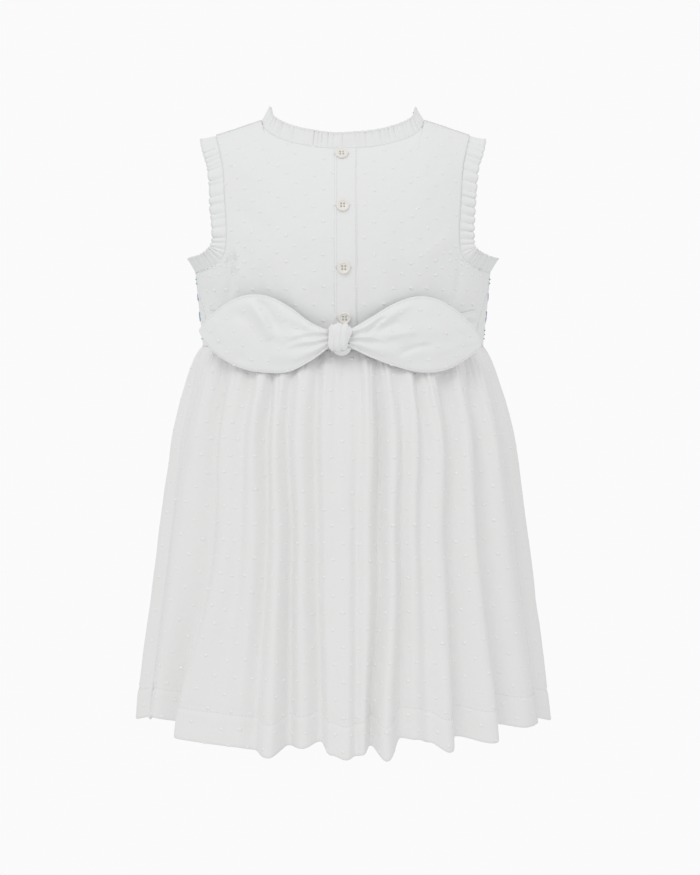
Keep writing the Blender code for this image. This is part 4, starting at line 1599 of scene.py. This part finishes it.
@dataclass
class Placket:
    """The two bands of the back opening, their stitches, buttonholes and buttons."""

    form: BodyForm
    trimmings: Trimmings
    left: float = -6.5 * MM
    right: float = 11 * MM
    under_reach: float = 3 * MM
    upper_lift: float = 0.55 * MM
    under_lift: float = -1.5 * MM
    band_columns: int = 30
    band_rows: int = 140
    stitched_columns: tuple[int, int] = (3, 27)
    seam_gap: float = 0.3 * MM
    buttonhole_half: float = 6.2 * MM
    buttonhole_gap: float = 0.45 * MM
    button_radius: float = 5 * MM
    button_thickness: float = 2.2 * MM
    hole_radius: float = 0.7 * MM
    hole_offset: float = 1.15 * MM
    thread_spread: float = 0.16 * MM

    def band_points(self, left: float, right: float) -> np.ndarray:
        """Points of a band on the body form.

        Args:
            left: Where its left edge is.
            right: Where its right edge is.

        Returns:
            Rows and columns of points, from the neck down.
        """
        x = np.linspace(left, right, self.band_columns)
        top = self.form.neck_height(x, self.form.back_neck_drop)
        low = self.form.waist_z + self.seam_gap / 2
        z = top[None, :] + np.linspace(0, 1, self.band_rows)[:, None] * (low - top[None, :])
        return self.form.point(self.form.angle_of(x[None, :], z), z)

    def build_bands(self) -> None:
        """The buttonhole band with its rows of stitches, and the band under it."""
        under = (self.left + self.seam_gap, self.right + self.under_reach, self.under_lift)
        for name, (left, right, lift) in (
            ("placket_buttonhole_band", (self.left, self.right, self.upper_lift)),
            ("placket_button_band", under),
        ):
            points = self.band_points(left, right)
            normals = self.form.normal(points)
            across = np.linspace(-1, 1, points.shape[1])[None, :]
            pucker = 0.1 * MM * SoftNoise(31, 8, 40).at((across + 1) / 2, (points[..., 2] + 0.19) / 0.19)
            crown = -0.35 * MM * np.abs(across) ** 8
            shaped = points + normals * (pucker + crown + lift)[..., None]
            grid = ClothGrid(shaped, flat_places(points), normals)
            sheet_of_cloth(name + "_cloth", grid, BODICE_COTTON, 0.8 * MM, (name,))
            if lift > 0:
                raised = shaped + normals * 0.1 * MM
                lines = [raised[:, column] for column in self.stitched_columns]
                sewn = {"pitch": 2.4 * MM, "length": 1.8 * MM, "thread": 0.16 * MM}
                self.trimmings.stitch_line("placket_stitches", lines, **sewn)

    def button_blank(self, name: str) -> bpy.types.Mesh:
        """A button with a rolled rim and a dished middle, before its holes are drilled.

        Args:
            name: The mesh's name.

        Returns:
            The mesh, lying flat at the origin.
        """
        radius, thick = self.button_radius, self.button_thickness
        profile = (
            (0.0, 0.0),
            (0.70 * radius, 0.0),
            (0.90 * radius, 0.14 * thick),
            (0.98 * radius, 0.36 * thick),
            (radius, 0.58 * thick),
            (0.975 * radius, 0.80 * thick),
            (0.91 * radius, 0.95 * thick),
            (0.82 * radius, thick),
            (0.73 * radius, 0.93 * thick),
            (0.66 * radius, 0.76 * thick),
            (0.55 * radius, 0.66 * thick),
            (0.0, 0.62 * thick),
        )
        work = bmesh.new()
        chain = [work.verts.new((x, 0, z)) for x, z in profile]
        edges = [work.edges.new(pair) for pair in zip(chain, chain[1:])]
        axis = {"axis": (0, 0, 1), "cent": (0, 0, 0), "angle": 2 * math.pi}
        bmesh.ops.spin(work, geom=chain + edges, steps=64, use_merge=True, **axis)
        bmesh.ops.remove_doubles(work, verts=work.verts, dist=0.01 * MM)
        bmesh.ops.recalc_face_normals(work, faces=work.faces)
        mesh = bpy.data.meshes.new(name)
        work.to_mesh(mesh)
        work.free()
        return mesh

    def drills(self, name: str) -> bpy.types.Mesh:
        """Four rods through the places of the button's holes.

        Args:
            name: The mesh's name.

        Returns:
            The mesh.
        """
        work = bmesh.new()
        radius, thick = self.hole_radius, self.button_thickness
        size = {"radius1": radius, "radius2": radius, "depth": 4 * thick}
        for across in (-self.hole_offset, self.hole_offset):
            for up in (-self.hole_offset, self.hole_offset):
                rod = bmesh.ops.create_cone(work, cap_ends=True, segments=20, **size)
                bmesh.ops.translate(work, verts=rod["verts"], vec=(across, up, thick / 2))
        mesh = bpy.data.meshes.new(name)
        work.to_mesh(mesh)
        work.free()
        return mesh

    def button(self, name: str) -> bpy.types.Object:
        """A four-hole button.

        Args:
            name: The object's name.

        Returns:
            The button, lying flat at the origin.
        """
        body = scene_object(name + "_blank", self.button_blank(name))
        cutter = scene_object(name + "_cutter", self.drills(name + "_holes"))
        cut = body.modifiers.new("holes", "BOOLEAN")
        cut.operation, cut.solver, cut.object = "DIFFERENCE", "EXACT", cutter
        made = bpy.data.meshes.new_from_object(body.evaluated_get(bpy.context.evaluated_depsgraph_get()))
        for item in (body, cutter):
            bpy.data.objects.remove(item)
        made.name = name
        made.set_sharp_from_angle(angle=math.radians(50))
        return scene_object(name, made)

    def sew_button(self, number: int, turn: Matrix) -> None:
        """The thread of a button and the two sides of its buttonhole.

        Args:
            number: Which button, from the top.
            turn: The button's place.
        """
        top = 0.75 * self.button_thickness
        bars = []
        for across in (-self.hole_offset, self.hole_offset):
            for shift in (-self.thread_spread, self.thread_spread):
                ends = [
                    (across + shift, share * self.hole_offset * 1.15, top - 0.5 * MM * (abs(share) > 0.9))
                    for share in (-1.0, -0.8, 0.0, 0.8, 1.0)
                ]
                bars.append(np.array([list(turn @ Vector(end)) for end in ends]))
        line = self.trimmings.stitch_line
        line(f"button_thread_{number}", bars, SEWING_THREAD, 0.4 * MM, 0.62 * MM, 0.17 * MM)
        along = np.linspace(-self.buttonhole_half, self.buttonhole_half, 20)
        sides = [
            np.array([list(turn @ Vector((float(x), up, 0.0))) for x in along])
            for up in (-self.buttonhole_gap, self.buttonhole_gap)
        ]
        line(f"buttonhole_{number}", sides, SEWING_THREAD, 0.42 * MM, 0.85 * MM, 0.16 * MM, math.pi / 2)

    def build_buttons(self) -> None:
        """Each button in the place of its node, with its thread and the buttonhole behind it."""
        for number in range(1, 5):
            low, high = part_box(f"button_{number}")
            middle = (low + high) / 2
            angle = self.form.angle_of(middle.x, middle.z)
            place = Vector(self.form.point(angle, np.array(middle.z)))
            normal = Vector(self.form.normal(np.array(place)))
            turn = normal.to_track_quat("Z", "Y").to_matrix().to_4x4()
            turn.translation = place + normal * 0.5 * MM
            button = self.button(f"shell_button_{number}")
            button.data.transform(turn)
            place_piece(button, BUTTON_SHELL, (f"button_{number}",))
            self.sew_button(number, turn)

    def build(self) -> np.ndarray:
        """Builds the opening.

        Returns:
            The top edge of its upper band, from left to right.
        """
        self.build_bands()
        self.build_buttons()
        return self.band_points(self.left, self.right)[0]


# --- Skirt ---


@dataclass
class Skirt:
    """The gathered skirt: two panels with deep folds and a wide turned-up hem."""

    form: BodyForm
    trimmings: Trimmings
    curves: FormCurves = field(default_factory=lambda: FormCurves(SKIRT))
    hem_z: float = -487 * MM
    hem_depth: float = 24 * MM
    seam_gap: float = 0.3 * MM
    fold_levels: tuple[float, float, float] = (0.14, 0.52, 1.0)
    valley_pinch: float = 1.15
    fold_boost: float = 1.6
    gather_pitch: float = 6.4 * MM
    gather_depth: float = 1.25 * MM
    # Painted shade in hollows and painted highlight on crests, per metre of relief.
    hollow_painted_shade: float = 0.004 / MM
    # Painted shade towards the hem: the share of the colour left at the hem.
    hem_painted_shade: float = 0.76
    # Painted shade on the doubled hem band, where less light comes through the cloth.
    doubled_hem_shade: float = 0.975
    hem_turn: tuple[tuple[float, float], ...] = ((0.2, 0.35), (0.7, 0.5), (1.2, 0.3))
    turn_inside: float = 1.4 * MM
    columns_per_fold: int = 14
    waist_rows: int = 22
    middle_rows: int = 58
    hem_rows: int = 12

    def hem_line(self) -> float:
        """Where the hem's stitches are, from the waist (0) to the hem (1)."""
        return 1 - self.hem_depth / (self.form.waist_z - self.hem_z)

    def fold_at(self, folds: Sequence[Fold], place: np.ndarray, drop: np.ndarray) -> tuple[np.ndarray, ...]:
        """The angle, stand-off and hem lift of the folds, and their painted shade and highlight.

        Args:
            folds: Rows of ridges and valleys.
            place: Where along the rows, counted in rows.
            drop: From the waist (0) to the hem (1).

        Returns:
            Angles in radians, stand-offs and lifts in metres, and painted shade and highlight factors.
        """
        table = np.array(folds, float).T
        low = np.clip(np.floor(place).astype(int), 0, len(folds) - 2)
        share = place - low
        falls = table[4][low] > table[4][low + 1]
        ease = np.where(falls, eased(share**self.valley_pinch), 1 - eased((1 - share) ** self.valley_pinch))

        def between(column: np.ndarray, weight: np.ndarray) -> np.ndarray:
            """A column between two rows."""
            return column[low] * (1 - weight) + column[low + 1] * weight

        top, middle, hem = (between(np.radians(column), share) for column in table[:3])
        first, second, last = self.fold_levels
        upper = eased(np.clip((drop - first) / (second - first), 0, 1))
        lower = eased(np.clip((drop - second) / (last - second), 0, 1))
        angle = top + (middle - top) * upper + (hem - middle) * lower
        out_top, out_hem, lift = (between(column, ease) * MM for column in table[3:6])
        # Painted shade and highlight along the folds, partly the look of cloth lying double.
        painted_light_and_doubling = between(table[6], eased(share))
        opening = np.clip(drop / first, 0, 1) ** 0.7
        relief = self.fold_boost * out_top * opening * (1 - drop) + out_hem * drop
        return angle, relief, lift, painted_light_and_doubling

    def gathers(self, angle: np.ndarray, drop: np.ndarray, seed: int) -> np.ndarray:
        """Fine gathers that hang from the waist seam and die out as the cloth spreads.

        Args:
            angle: How far round from the centre back, in radians.
            drop: From the waist (0) to the hem (1).
            seed: Chooses their unevenness.

        Returns:
            Lengths in metres, outwards.
        """
        turn = (angle - angle.min()) / (angle.max() - angle.min())
        drift = SoftNoise(seed, 24, 3).at(turn, drop) * 2.2
        count = (angle.max() - angle.min()) * 95 * MM / self.gather_pitch
        fine = np.abs(np.sin(np.pi * count * turn + drift)) ** 0.7 * 2 - 1.2
        broad = SoftNoise(seed + 1, 46, 2).at(turn, drop**0.7)
        medium = SoftNoise(seed + 2, 26, 4).at(turn, drop)
        strength = 0.35 + 0.65 * np.clip(SoftNoise(seed + 3, 18, 1).at(turn, 0 * drop) + 0.6, 0, 1)
        start = np.clip(drop / 0.012, 0.35, 1)
        fading = np.exp(-((drop / 0.19) ** 1.3)) * strength * start
        loose = np.clip(drop / 0.1, 0, 1)
        body = 1.15 * MM * broad * loose * (1 - 0.75 * drop) + 0.8 * MM * medium * loose
        return self.gather_depth * fine * fading + body

    def surface(
        self, folds: Sequence[Fold], place: np.ndarray, drop: np.ndarray, seed: int
    ) -> tuple[np.ndarray, np.ndarray]:
        """The skirt's right side.

        Args:
            folds: Rows of ridges and valleys.
            place: Where along the rows, counted in rows.
            drop: From the waist (0) to the hem (1).
            seed: Chooses the small unevenness.

        Returns:
            Points, and the painted shade and highlight of each.
        """
        angle, relief, lift, painted_light_and_doubling = self.fold_at(folds, place, drop)
        turn = place / (len(folds) - 1)
        settled = np.clip(np.minimum(turn, 1 - turn) * 40, 0, 1)
        gathered = self.gathers(angle, drop, seed) * settled
        # Painted shade and highlight: the folds' own factor, darker in hollows and lighter on crests of folds
        # and gathers.
        shade = painted_light_and_doubling**5.0 * (1 + self.hollow_painted_shade * relief + 3 * self.hollow_painted_shade * gathered)
        # Painted shade: darker towards the hem.
        shade = shade * (1 - (1 - self.hem_painted_shade) * eased(np.clip((drop - 0.25) / 0.75, 0, 1)))
        relief = relief + gathered
        crumple = SoftNoise(seed + 4, 30, 16).at(turn, drop)
        relief = relief + 0.4 * MM * crumple * np.clip(drop * 3, 0, 1) * settled
        line = self.hem_line()
        relief = relief - 0.5 * MM * bump(drop - line, 0.0045)
        relief = relief + 0.3 * MM * SoftNoise(seed + 5, 150, 2).at(turn, drop) * bump(drop - line, 0.03)
        relief = relief + 0.35 * MM * eased(np.clip((drop - line) / 0.01, 0, 1))
        start = self.form.waist_z + self.seam_gap
        z = start + (self.hem_z + lift - start) * drop
        back = np.cos(angle) > 0
        depth = np.where(back, self.curves.back_depth(z), self.curves.front_depth(z))
        width = self.curves.half_width(z)
        sideways, lengthways = np.sin(angle) * depth, np.cos(angle) * width
        size = np.hypot(sideways, lengthways)
        x = width * np.sin(angle) + relief * sideways / size
        y = -depth * np.cos(angle) - relief * lengthways / size
        return np.stack([x, y, z], axis=-1), shade

    def panel(self, name: str, folds: Sequence[Fold], seed: int) -> None:
        """One panel with its turned-up hem, tufts and hem stitches.

        Args:
            name: The frame node that it stands for.
            folds: Rows of ridges and valleys.
            seed: Chooses the small unevenness.
        """
        first, line = self.fold_levels[0], self.hem_line()
        drops = np.concatenate(
            [
                np.linspace(0, first, self.waist_rows, endpoint=False),
                np.linspace(first, line, self.middle_rows, endpoint=False),
                np.linspace(line, 1, self.hem_rows),
            ]
        )
        columns = np.linspace(0, len(folds) - 1, self.columns_per_fold * (len(folds) - 1) + 1)
        points, painted_shading = self.surface(folds, *np.meshgrid(columns, drops), seed)
        normals = grid_normals(points, unit(points * np.array([1, 1, 0])))
        points[:, 0] -= self.seam_gap * unit(points[:, 1] - points[:, 0])
        points[:, -1] -= self.seam_gap * unit(points[:, -2] - points[:, -1])
        down = np.array([0, 0, -1.0])
        turn = [points[-1] - normals[-1] * i * MM + down * d * MM for i, d in self.hem_turn]
        under = [points[-row] - normals[-row] * self.turn_inside for row in range(1, self.hem_rows)]
        whole = np.concatenate([points, np.stack(turn + under)])
        unseen = len(whole) - len(points)
        outward = np.concatenate([normals, np.zeros_like(whole[-unseen:])])
        grid = ClothGrid(whole, flat_places(whole), outward)
        # The turned-up hem keeps the painted shade of the hem's last row.
        shade = np.concatenate([painted_shading, np.repeat(painted_shading[-1:], unseen, axis=0)])
        hem = len(points) - self.hem_rows
        # Painted shade on the doubled hem band.
        shade[hem:] *= self.doubled_hem_shade
        panel = sheet_of_cloth(name + "_cloth", grid, SKIRT_COTTON, 0.4 * MM, (name,), shade)
        right_side = ClothGrid(points, grid.flat[: len(points)], normals)
        self.trimmings.tuft_panel(panel, right_side, seed + 8, "skirt_cotton")
        stitches = points[hem] + normals[hem] * 0.1 * MM
        sewn = {"pitch": 2.8 * MM, "length": 2.0 * MM, "thread": 0.17 * MM}
        self.trimmings.stitch_line(name + "_hem_stitches", [stitches], **sewn)

    def build(self) -> None:
        """Builds both panels."""
        self.panel("skirt_back", BACK_FOLDS, 100)
        self.panel("skirt_front", FRONT_FOLDS, 140)


# --- Sash ---

BACKWARD = np.array([0.0, -1.0, 0.0])


class LeafRow(NamedTuple):
    """A section of a sash end in mm: distance from the middle, upper edge, lower edge, stand-off."""

    x: float
    top: float
    bottom: float
    out: float


LEFT_LEAF = (
    LeafRow(-9.0, -167, -177, 86),
    LeafRow(-25, -160, -190, 85.5),
    LeafRow(-40, -149, -198, 84),
    LeafRow(-59, -140, -199.5, 80),
    LeafRow(-82, -142, -195, 71),
    LeafRow(-98, -152, -186, 60.5),
    LeafRow(-108, -161.5, -176, 52),
    LeafRow(-112, -167, -169, 48.5),
)
RIGHT_LEAF = (
    LeafRow(3.5, -167, -177, 86),
    LeafRow(20.5, -157, -186.5, 85.5),
    LeafRow(39.5, -146, -194, 84),
    LeafRow(62.5, -140.5, -199.5, 79),
    LeafRow(82, -147.5, -197, 71),
    LeafRow(97, -160, -189, 61),
    LeafRow(105, -170, -183, 54.5),
    LeafRow(108, -177.5, -179.5, 52),
)
LEFT_LEAF_CREASES = (
    Crease(-74, -142, -55, -174, 4.0, 2.8),
    Crease(-66, -143, -48, -170, 3.0, -2.0),
    Crease(-52, -144, -44, -160, 3.5, 1.2),
    Crease(-84, -150, -62, -180, 5.0, -1.0),
    Crease(-30, -148, -27, -164, 2.6, 1.6),
    Crease(-36, -152, -33, -168, 2.6, -1.1),
    Crease(-44, -176, -13, -172, 1.5, -0.9),
    Crease(-40, -171, -12, -169.5, 1.3, 0.7),
    Crease(-46, -181, -14, -175, 1.6, 0.7),
    Crease(-100, -158, -96, -178, 4.0, 0.6),
)
RIGHT_LEAF_CREASES = (
    Crease(12, -168, 46, -146, 2.4, 1.5),
    Crease(17, -169, 34, -156, 1.7, -1.6),
    Crease(24, -171, 44, -160, 2.6, -1.3),
    Crease(26, -166, 54, -146, 3.0, 1.2),
    Crease(30, -174, 58, -168, 2.6, 0.9),
    Crease(42, -186, 70, -178, 2.4, -1.3),
    Crease(8, -172, 36, -176, 1.6, 0.7),
    Crease(60, -150, 78, -186, 8.0, 0.7),
)


@dataclass
class Sash:
    """The sash: two drawn-together straps, the knot and two leaf-shaped ends."""

    form: BodyForm
    trimmings: Trimmings
    seam_gap: float = 0.3 * MM
    wall: float = 1.2 * MM
    strap_start: float = math.radians(69)
    strap_end_from_knot: float = 4 * MM
    strap_lift: float = 5.4 * MM
    strap_z: float = -166 * MM
    knot: tuple[float, float, float] = (-2.6 * MM, -86 * MM, -171.5 * MM)
    knot_half: tuple[float, float, float] = (9.4 * MM, 6.6 * MM, 11.6 * MM)
    lean: float = 1.0 * MM
    sunk_end: float = 3.0 * MM
    settle: float = 7.0 * MM
    edge_stitch: float = 1.6 * MM
    crease_boost: float = 1.35

    def strap(self, side: int) -> None:
        """One strap, from the side seam to the knot, pleated as it narrows.

        Args:
            side: 1 on the right and -1 on the left.
        """
        word = "right" if side > 0 else "left"
        run = np.linspace(0, 1, 130)[None, :]
        across = np.linspace(-1, 1, 34)[:, None]
        x, _, z_knot = self.knot
        end = math.asin((x * side + self.strap_end_from_knot) / float(self.form.curves.half_width(z_knot)))
        angle = self.strap_start + (end - self.strap_start) * run
        middle = self.strap_z + (z_knot - self.strap_z) * eased(run)
        half = (13.5 - 8.5 * eased(run)) * MM
        z = middle - across * half
        lift = self.seam_gap + 0.5 * MM + self.strap_lift * np.clip((run - 0.55) / 0.45, 0, 1) ** 2
        lift = lift - self.sunk_end * (1 - eased(np.clip(run / 0.07, 0, 1)))
        points = self.form.point(angle + 0 * z, z)
        normals = self.form.normal(points)
        pleats = 0.7 * MM * np.cos(across * 3.5 * np.pi + 0.8 * np.sin(5 * run)) * (0.25 + 0.75 * run)
        points = points + normals * (lift + self.wall + pleats)[..., None]
        if side < 0:
            points, normals = mirrored(points), mirrored(normals)
        grid = ClothGrid(points, flat_places(points), normals)
        name = "sash_strap_" + word
        sheet_of_cloth(name + "_cloth", grid, SASH_COTTON, 0.9 * MM, (name,))

    def leaf(self, name: str, rows: Sequence[LeafRow], creases: Sequence[Crease], seed: int) -> None:
        """One sash end: a sewn double layer with a pressed edge, creased and slightly crowned.

        Args:
            name: The frame node that it stands for.
            rows: Its sections, from the knot to the tip.
            creases: Its creases.
            seed: Chooses its small unevenness.
        """
        xs = [row.x for row in rows]
        run = np.linspace(0, 1, 150) ** 0.85
        x = xs[0] + (xs[-1] - xs[0]) * run
        top = through(xs, [row.top for row in rows])(x) * MM
        bottom = through(xs, [row.bottom for row in rows])(x) * MM
        out = through(xs, [row.out for row in rows])(x) * MM
        across = np.linspace(-1, 1, 84)[:, None]
        z = (top + bottom) / 2 - across * (top - bottom) / 2
        near = np.clip(1 - run * 1.8, 0, 1) ** 1.3
        pleat = 1.5 * MM * np.cos(3.3 * np.pi * across + 0.6) * near
        belly = 2.5 * MM * (1 - across**2) * np.sin(np.pi * run)
        stand = out + (self.lean * across - self.settle) * np.sin(np.pi * run) + pleat + belly
        points = np.stack([x * MM + 0 * z, -stand, z], axis=-1)
        place = (x[None, :] - xs[0]) / (xs[-1] - xs[0]) + 0 * z
        down = (across + 1) / 2 + 0 * z
        rough = 0.5 * MM * SoftNoise(seed, 12, 7).at(place, down)
        rim = np.minimum((1 - np.abs(across)) * (top - bottom) / 2, (1 - run) * 0.1)
        pucker = 0.22 * MM * SoftNoise(seed + 1, 70, 3).at(place, down) * bump(rim, 3 * MM)
        groove = -0.28 * MM * bump(rim - self.edge_stitch, 0.5 * MM)
        roll = -0.45 * MM * bump(rim, 0.6 * MM)
        quiet = np.clip(rim / (6 * MM), 0.25, 1)
        folded = self.crease_boost * crease_relief(points, creases)
        relief = folded * quiet + rough * quiet + pucker + groove + roll
        points[..., 1] -= relief
        outward = np.zeros_like(points) + BACKWARD
        grid = ClothGrid(points, flat_places(points), outward)
        piece = sheet_of_cloth(name + "_cloth", grid, SASH_COTTON, 1.0 * MM, (name,))
        self.trimmings.tuft_panel(piece, grid, seed + 3, "sash_cotton")
        self.stitch_edge(name, points, top - bottom)

    def stitch_edge(self, name: str, points: np.ndarray, height: np.ndarray) -> None:
        """Stitches round a sash end, just inside its edge.

        Args:
            name: The frame node that it stands for.
            points: Its rows and columns of points.
            height: The height of each column.
        """
        low, high = [], []
        for column in range(8, points.shape[1] - 6):
            share = 1 - self.edge_stitch * 2 / height[column]
            for target, value in ((high, -share), (low, share)):
                row = (value + 1) / 2 * (points.shape[0] - 1)
                first = int(row)
                mix = row - first
                point = points[first, column] * (1 - mix) + points[first + 1, column] * mix
                target.append(point + BACKWARD * 0.12 * MM)
        sewn = {"pitch": 2.4 * MM, "length": 1.7 * MM, "thread": 0.14 * MM}
        self.trimmings.stitch_line(name + "_stitches", [np.array(high + low[::-1])], **sewn)

    def tie(self) -> None:
        """The knot: a pleated wrap of the sash round the gathered ends, and the tuck under it."""
        half_x, half_y, half_z = self.knot_half
        turn = np.linspace(0, 2 * np.pi, 120, endpoint=False)[None, :]
        across = np.linspace(-1, 1, 48)[:, None]
        cosine, sine = np.cos(turn), np.sin(turn)
        ring_y = np.sign(cosine) * np.abs(cosine) ** 0.75
        ring_z = np.sign(sine) * np.abs(sine) ** 0.75
        front = 0.5 + 0.5 * cosine
        furrow = 0.085 * np.cos(across * 3.1 * np.pi + 0.9 * sine + 0.6) * (0.4 + 0.6 * front)
        fine = 0.03 * np.cos(across * 8.0 * np.pi - 1.4 * sine)
        swell = 1 - 0.34 * np.abs(across) ** 3.5 - 0.10 * (across + 0.15) ** 2
        narrowing = 1 - 0.22 * (0.5 - 0.5 * sine) * front
        size = swell * (0.94 + furrow + fine)
        x = half_x * across * narrowing + 1.6 * MM * sine * front
        y = -half_y * ring_y * size
        z = half_z * ring_z * size
        points = np.stack([x + 0 * z, y, z], axis=-1) + np.array(self.knot)
        outward = np.stack([0 * z, y, z], axis=-1)
        grid = ClothGrid(points, flat_places(points, True), unit(outward), True)
        sheet_of_cloth("sash_knot_wrap", grid, SASH_COTTON, 0.8 * MM, ("sash_knot",))
        self.tuck()

    def tuck(self) -> None:
        """The crumpled fold of cloth that shows under the knot."""
        x0, y0, z0 = self.knot
        run = np.linspace(-1, 1, 70)[None, :]
        curl = np.linspace(-0.15, 1.0, 40)[:, None]
        reach = np.clip(1 - run**2, 0, 1) ** 0.5
        wrinkles = 0.75 * MM * np.cos(3.2 * np.pi * curl + 1.1 * run) * reach
        x = x0 + 1.8 * MM + 9.0 * MM * run * (1 - 0.25 * curl)
        y = y0 + 5 * MM - (3.8 * MM * np.sin(np.pi * np.clip(curl, 0, 1)) + wrinkles) * (0.3 + 0.7 * reach)
        z = z0 - (6.0 + 8.4 * (1 - np.cos(np.pi * np.clip(curl, -0.15, 1))) / 2 * (0.35 + 0.65 * reach)) * MM
        points = np.stack([x, y, z + 0 * x], axis=-1)
        outward = np.zeros_like(points) + BACKWARD
        grid = ClothGrid(points, flat_places(points), outward)
        sheet_of_cloth("sash_tuck", grid, SASH_COTTON, 0.5 * MM)

    def build(self) -> None:
        """Builds the whole sash."""
        self.strap(1)
        self.strap(-1)
        self.leaf("sash_end_left", LEFT_LEAF, LEFT_LEAF_CREASES, 201)
        self.leaf("sash_end_right", RIGHT_LEAF, RIGHT_LEAF_CREASES, 231)
        self.tie()


# --- Studio ---


@dataclass
class Studio:
    """A plain pale floor, plain soft light and the camera."""

    eye: tuple[float, float, float] = (0.0056, -1.8, -0.10)
    aim_z: float = -0.2556
    view_height: float = 0.70
    pitch: float = math.radians(2.5)
    sensor: float = 36.0
    floor_z: float = -1.0
    floor_radius: float = 1.3
    floor_tone: float = 0.8
    ambient: float = 0.75
    backdrop: float = 0.957
    key_strength: float = 0.42
    fill_strength: float = 0.05

    def floor(self) -> None:
        """A wide round floor, well under the hem."""
        mesh = bpy.data.meshes.new("floor")
        work = bmesh.new()
        bmesh.ops.create_circle(work, cap_ends=True, segments=96, radius=self.floor_radius)
        work.to_mesh(mesh)
        work.free()
        mesh.transform(Matrix.Translation((0, 0, self.floor_z)))
        material = bpy.data.materials.new("floor")
        material.use_nodes = True
        shader = next(node for node in material.node_tree.nodes if node.type == "BSDF_PRINCIPLED")
        shader.inputs["Base Color"].default_value = (*(self.floor_tone,) * 3, 1.0)
        shader.inputs["Roughness"].default_value = 1.0
        shader.inputs["Specular IOR Level"].default_value = 0.0
        mesh.materials.append(material)
        scene_object("floor", mesh)

    def world(self) -> None:
        """Even light from all round, with a pale backdrop where the camera sees it."""
        world = bpy.data.worlds.new("studio")
        world.use_nodes = True
        tree = world.node_tree
        tree.nodes.clear()
        add = Nodes(tree)
        white = (1.0, 1.0, 1.0, 1.0)
        light = add.add("ShaderNodeBackground", Color=white, Strength=self.ambient)
        seen = add.add("ShaderNodeBackground", Color=white, Strength=self.backdrop)
        camera_ray = add.add("ShaderNodeLightPath").outputs["Is Camera Ray"]
        mixed = add.add("ShaderNodeMixShader", _0=camera_ray, _1=light.outputs[0], _2=seen.outputs[0])
        add.add("ShaderNodeOutputWorld", Surface=mixed.outputs[0])
        bpy.context.scene.world = world

    def sun(self, name: str, source: tuple[float, float, float], strength: float, angle: float) -> None:
        """A distant soft light.

        Args:
            name: The light's name.
            source: The direction that it comes from.
            strength: How strong it is.
            angle: How wide it is, in degrees.
        """
        data = bpy.data.lights.new(name, "SUN")
        data.energy, data.angle = strength, math.radians(angle)
        lamp = scene_object(name, data)
        lamp.rotation_mode = "QUATERNION"
        lamp.rotation_quaternion = Vector(source).to_track_quat("Z", "Y")
        lamp.location = Vector(source)

    def camera(self) -> None:
        """The camera, looking a little down at the back of the dress."""
        data = bpy.data.cameras.new("camera")
        distance = -self.eye[1]
        data.sensor_width = self.sensor
        data.lens = self.sensor * distance / self.view_height
        drop = math.atan((self.eye[2] - self.aim_z) / distance)
        data.shift_y = -math.tan(drop - self.pitch) * data.lens / self.sensor
        camera = scene_object("camera", data)
        camera.location = self.eye
        camera.rotation_euler = (math.pi / 2 - self.pitch, 0, 0)
        bpy.context.scene.camera = camera

    def build(self) -> None:
        """Sets up the whole studio."""
        self.floor()
        self.world()
        self.sun("key", (-0.45, -1.0, 1.15), self.key_strength, 28)
        self.sun("fill", (0.9, -1.0, 0.3), self.fill_strength, 60)
        self.camera()
        settings = bpy.context.scene.view_settings
        settings.view_transform = "Standard"
        settings.look = "None"


def main() -> None:
    """Dresses the frame, piece by piece."""
    logging.basicConfig(level=logging.INFO, format="%(name)s %(message)s")
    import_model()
    Studio().build()
    form = BodyForm()
    trimmings = Trimmings()
    placket = Placket(form, trimmings)
    band = placket.build()
    bodice = Bodice(form, trimmings)
    bodice.build(placket.left, placket.right)
    Frills(form, bodice, trimmings).build(band)
    Skirt(form, trimmings).build()
    Sash(form, trimmings).build()


if __name__ == "__main__":
    main()
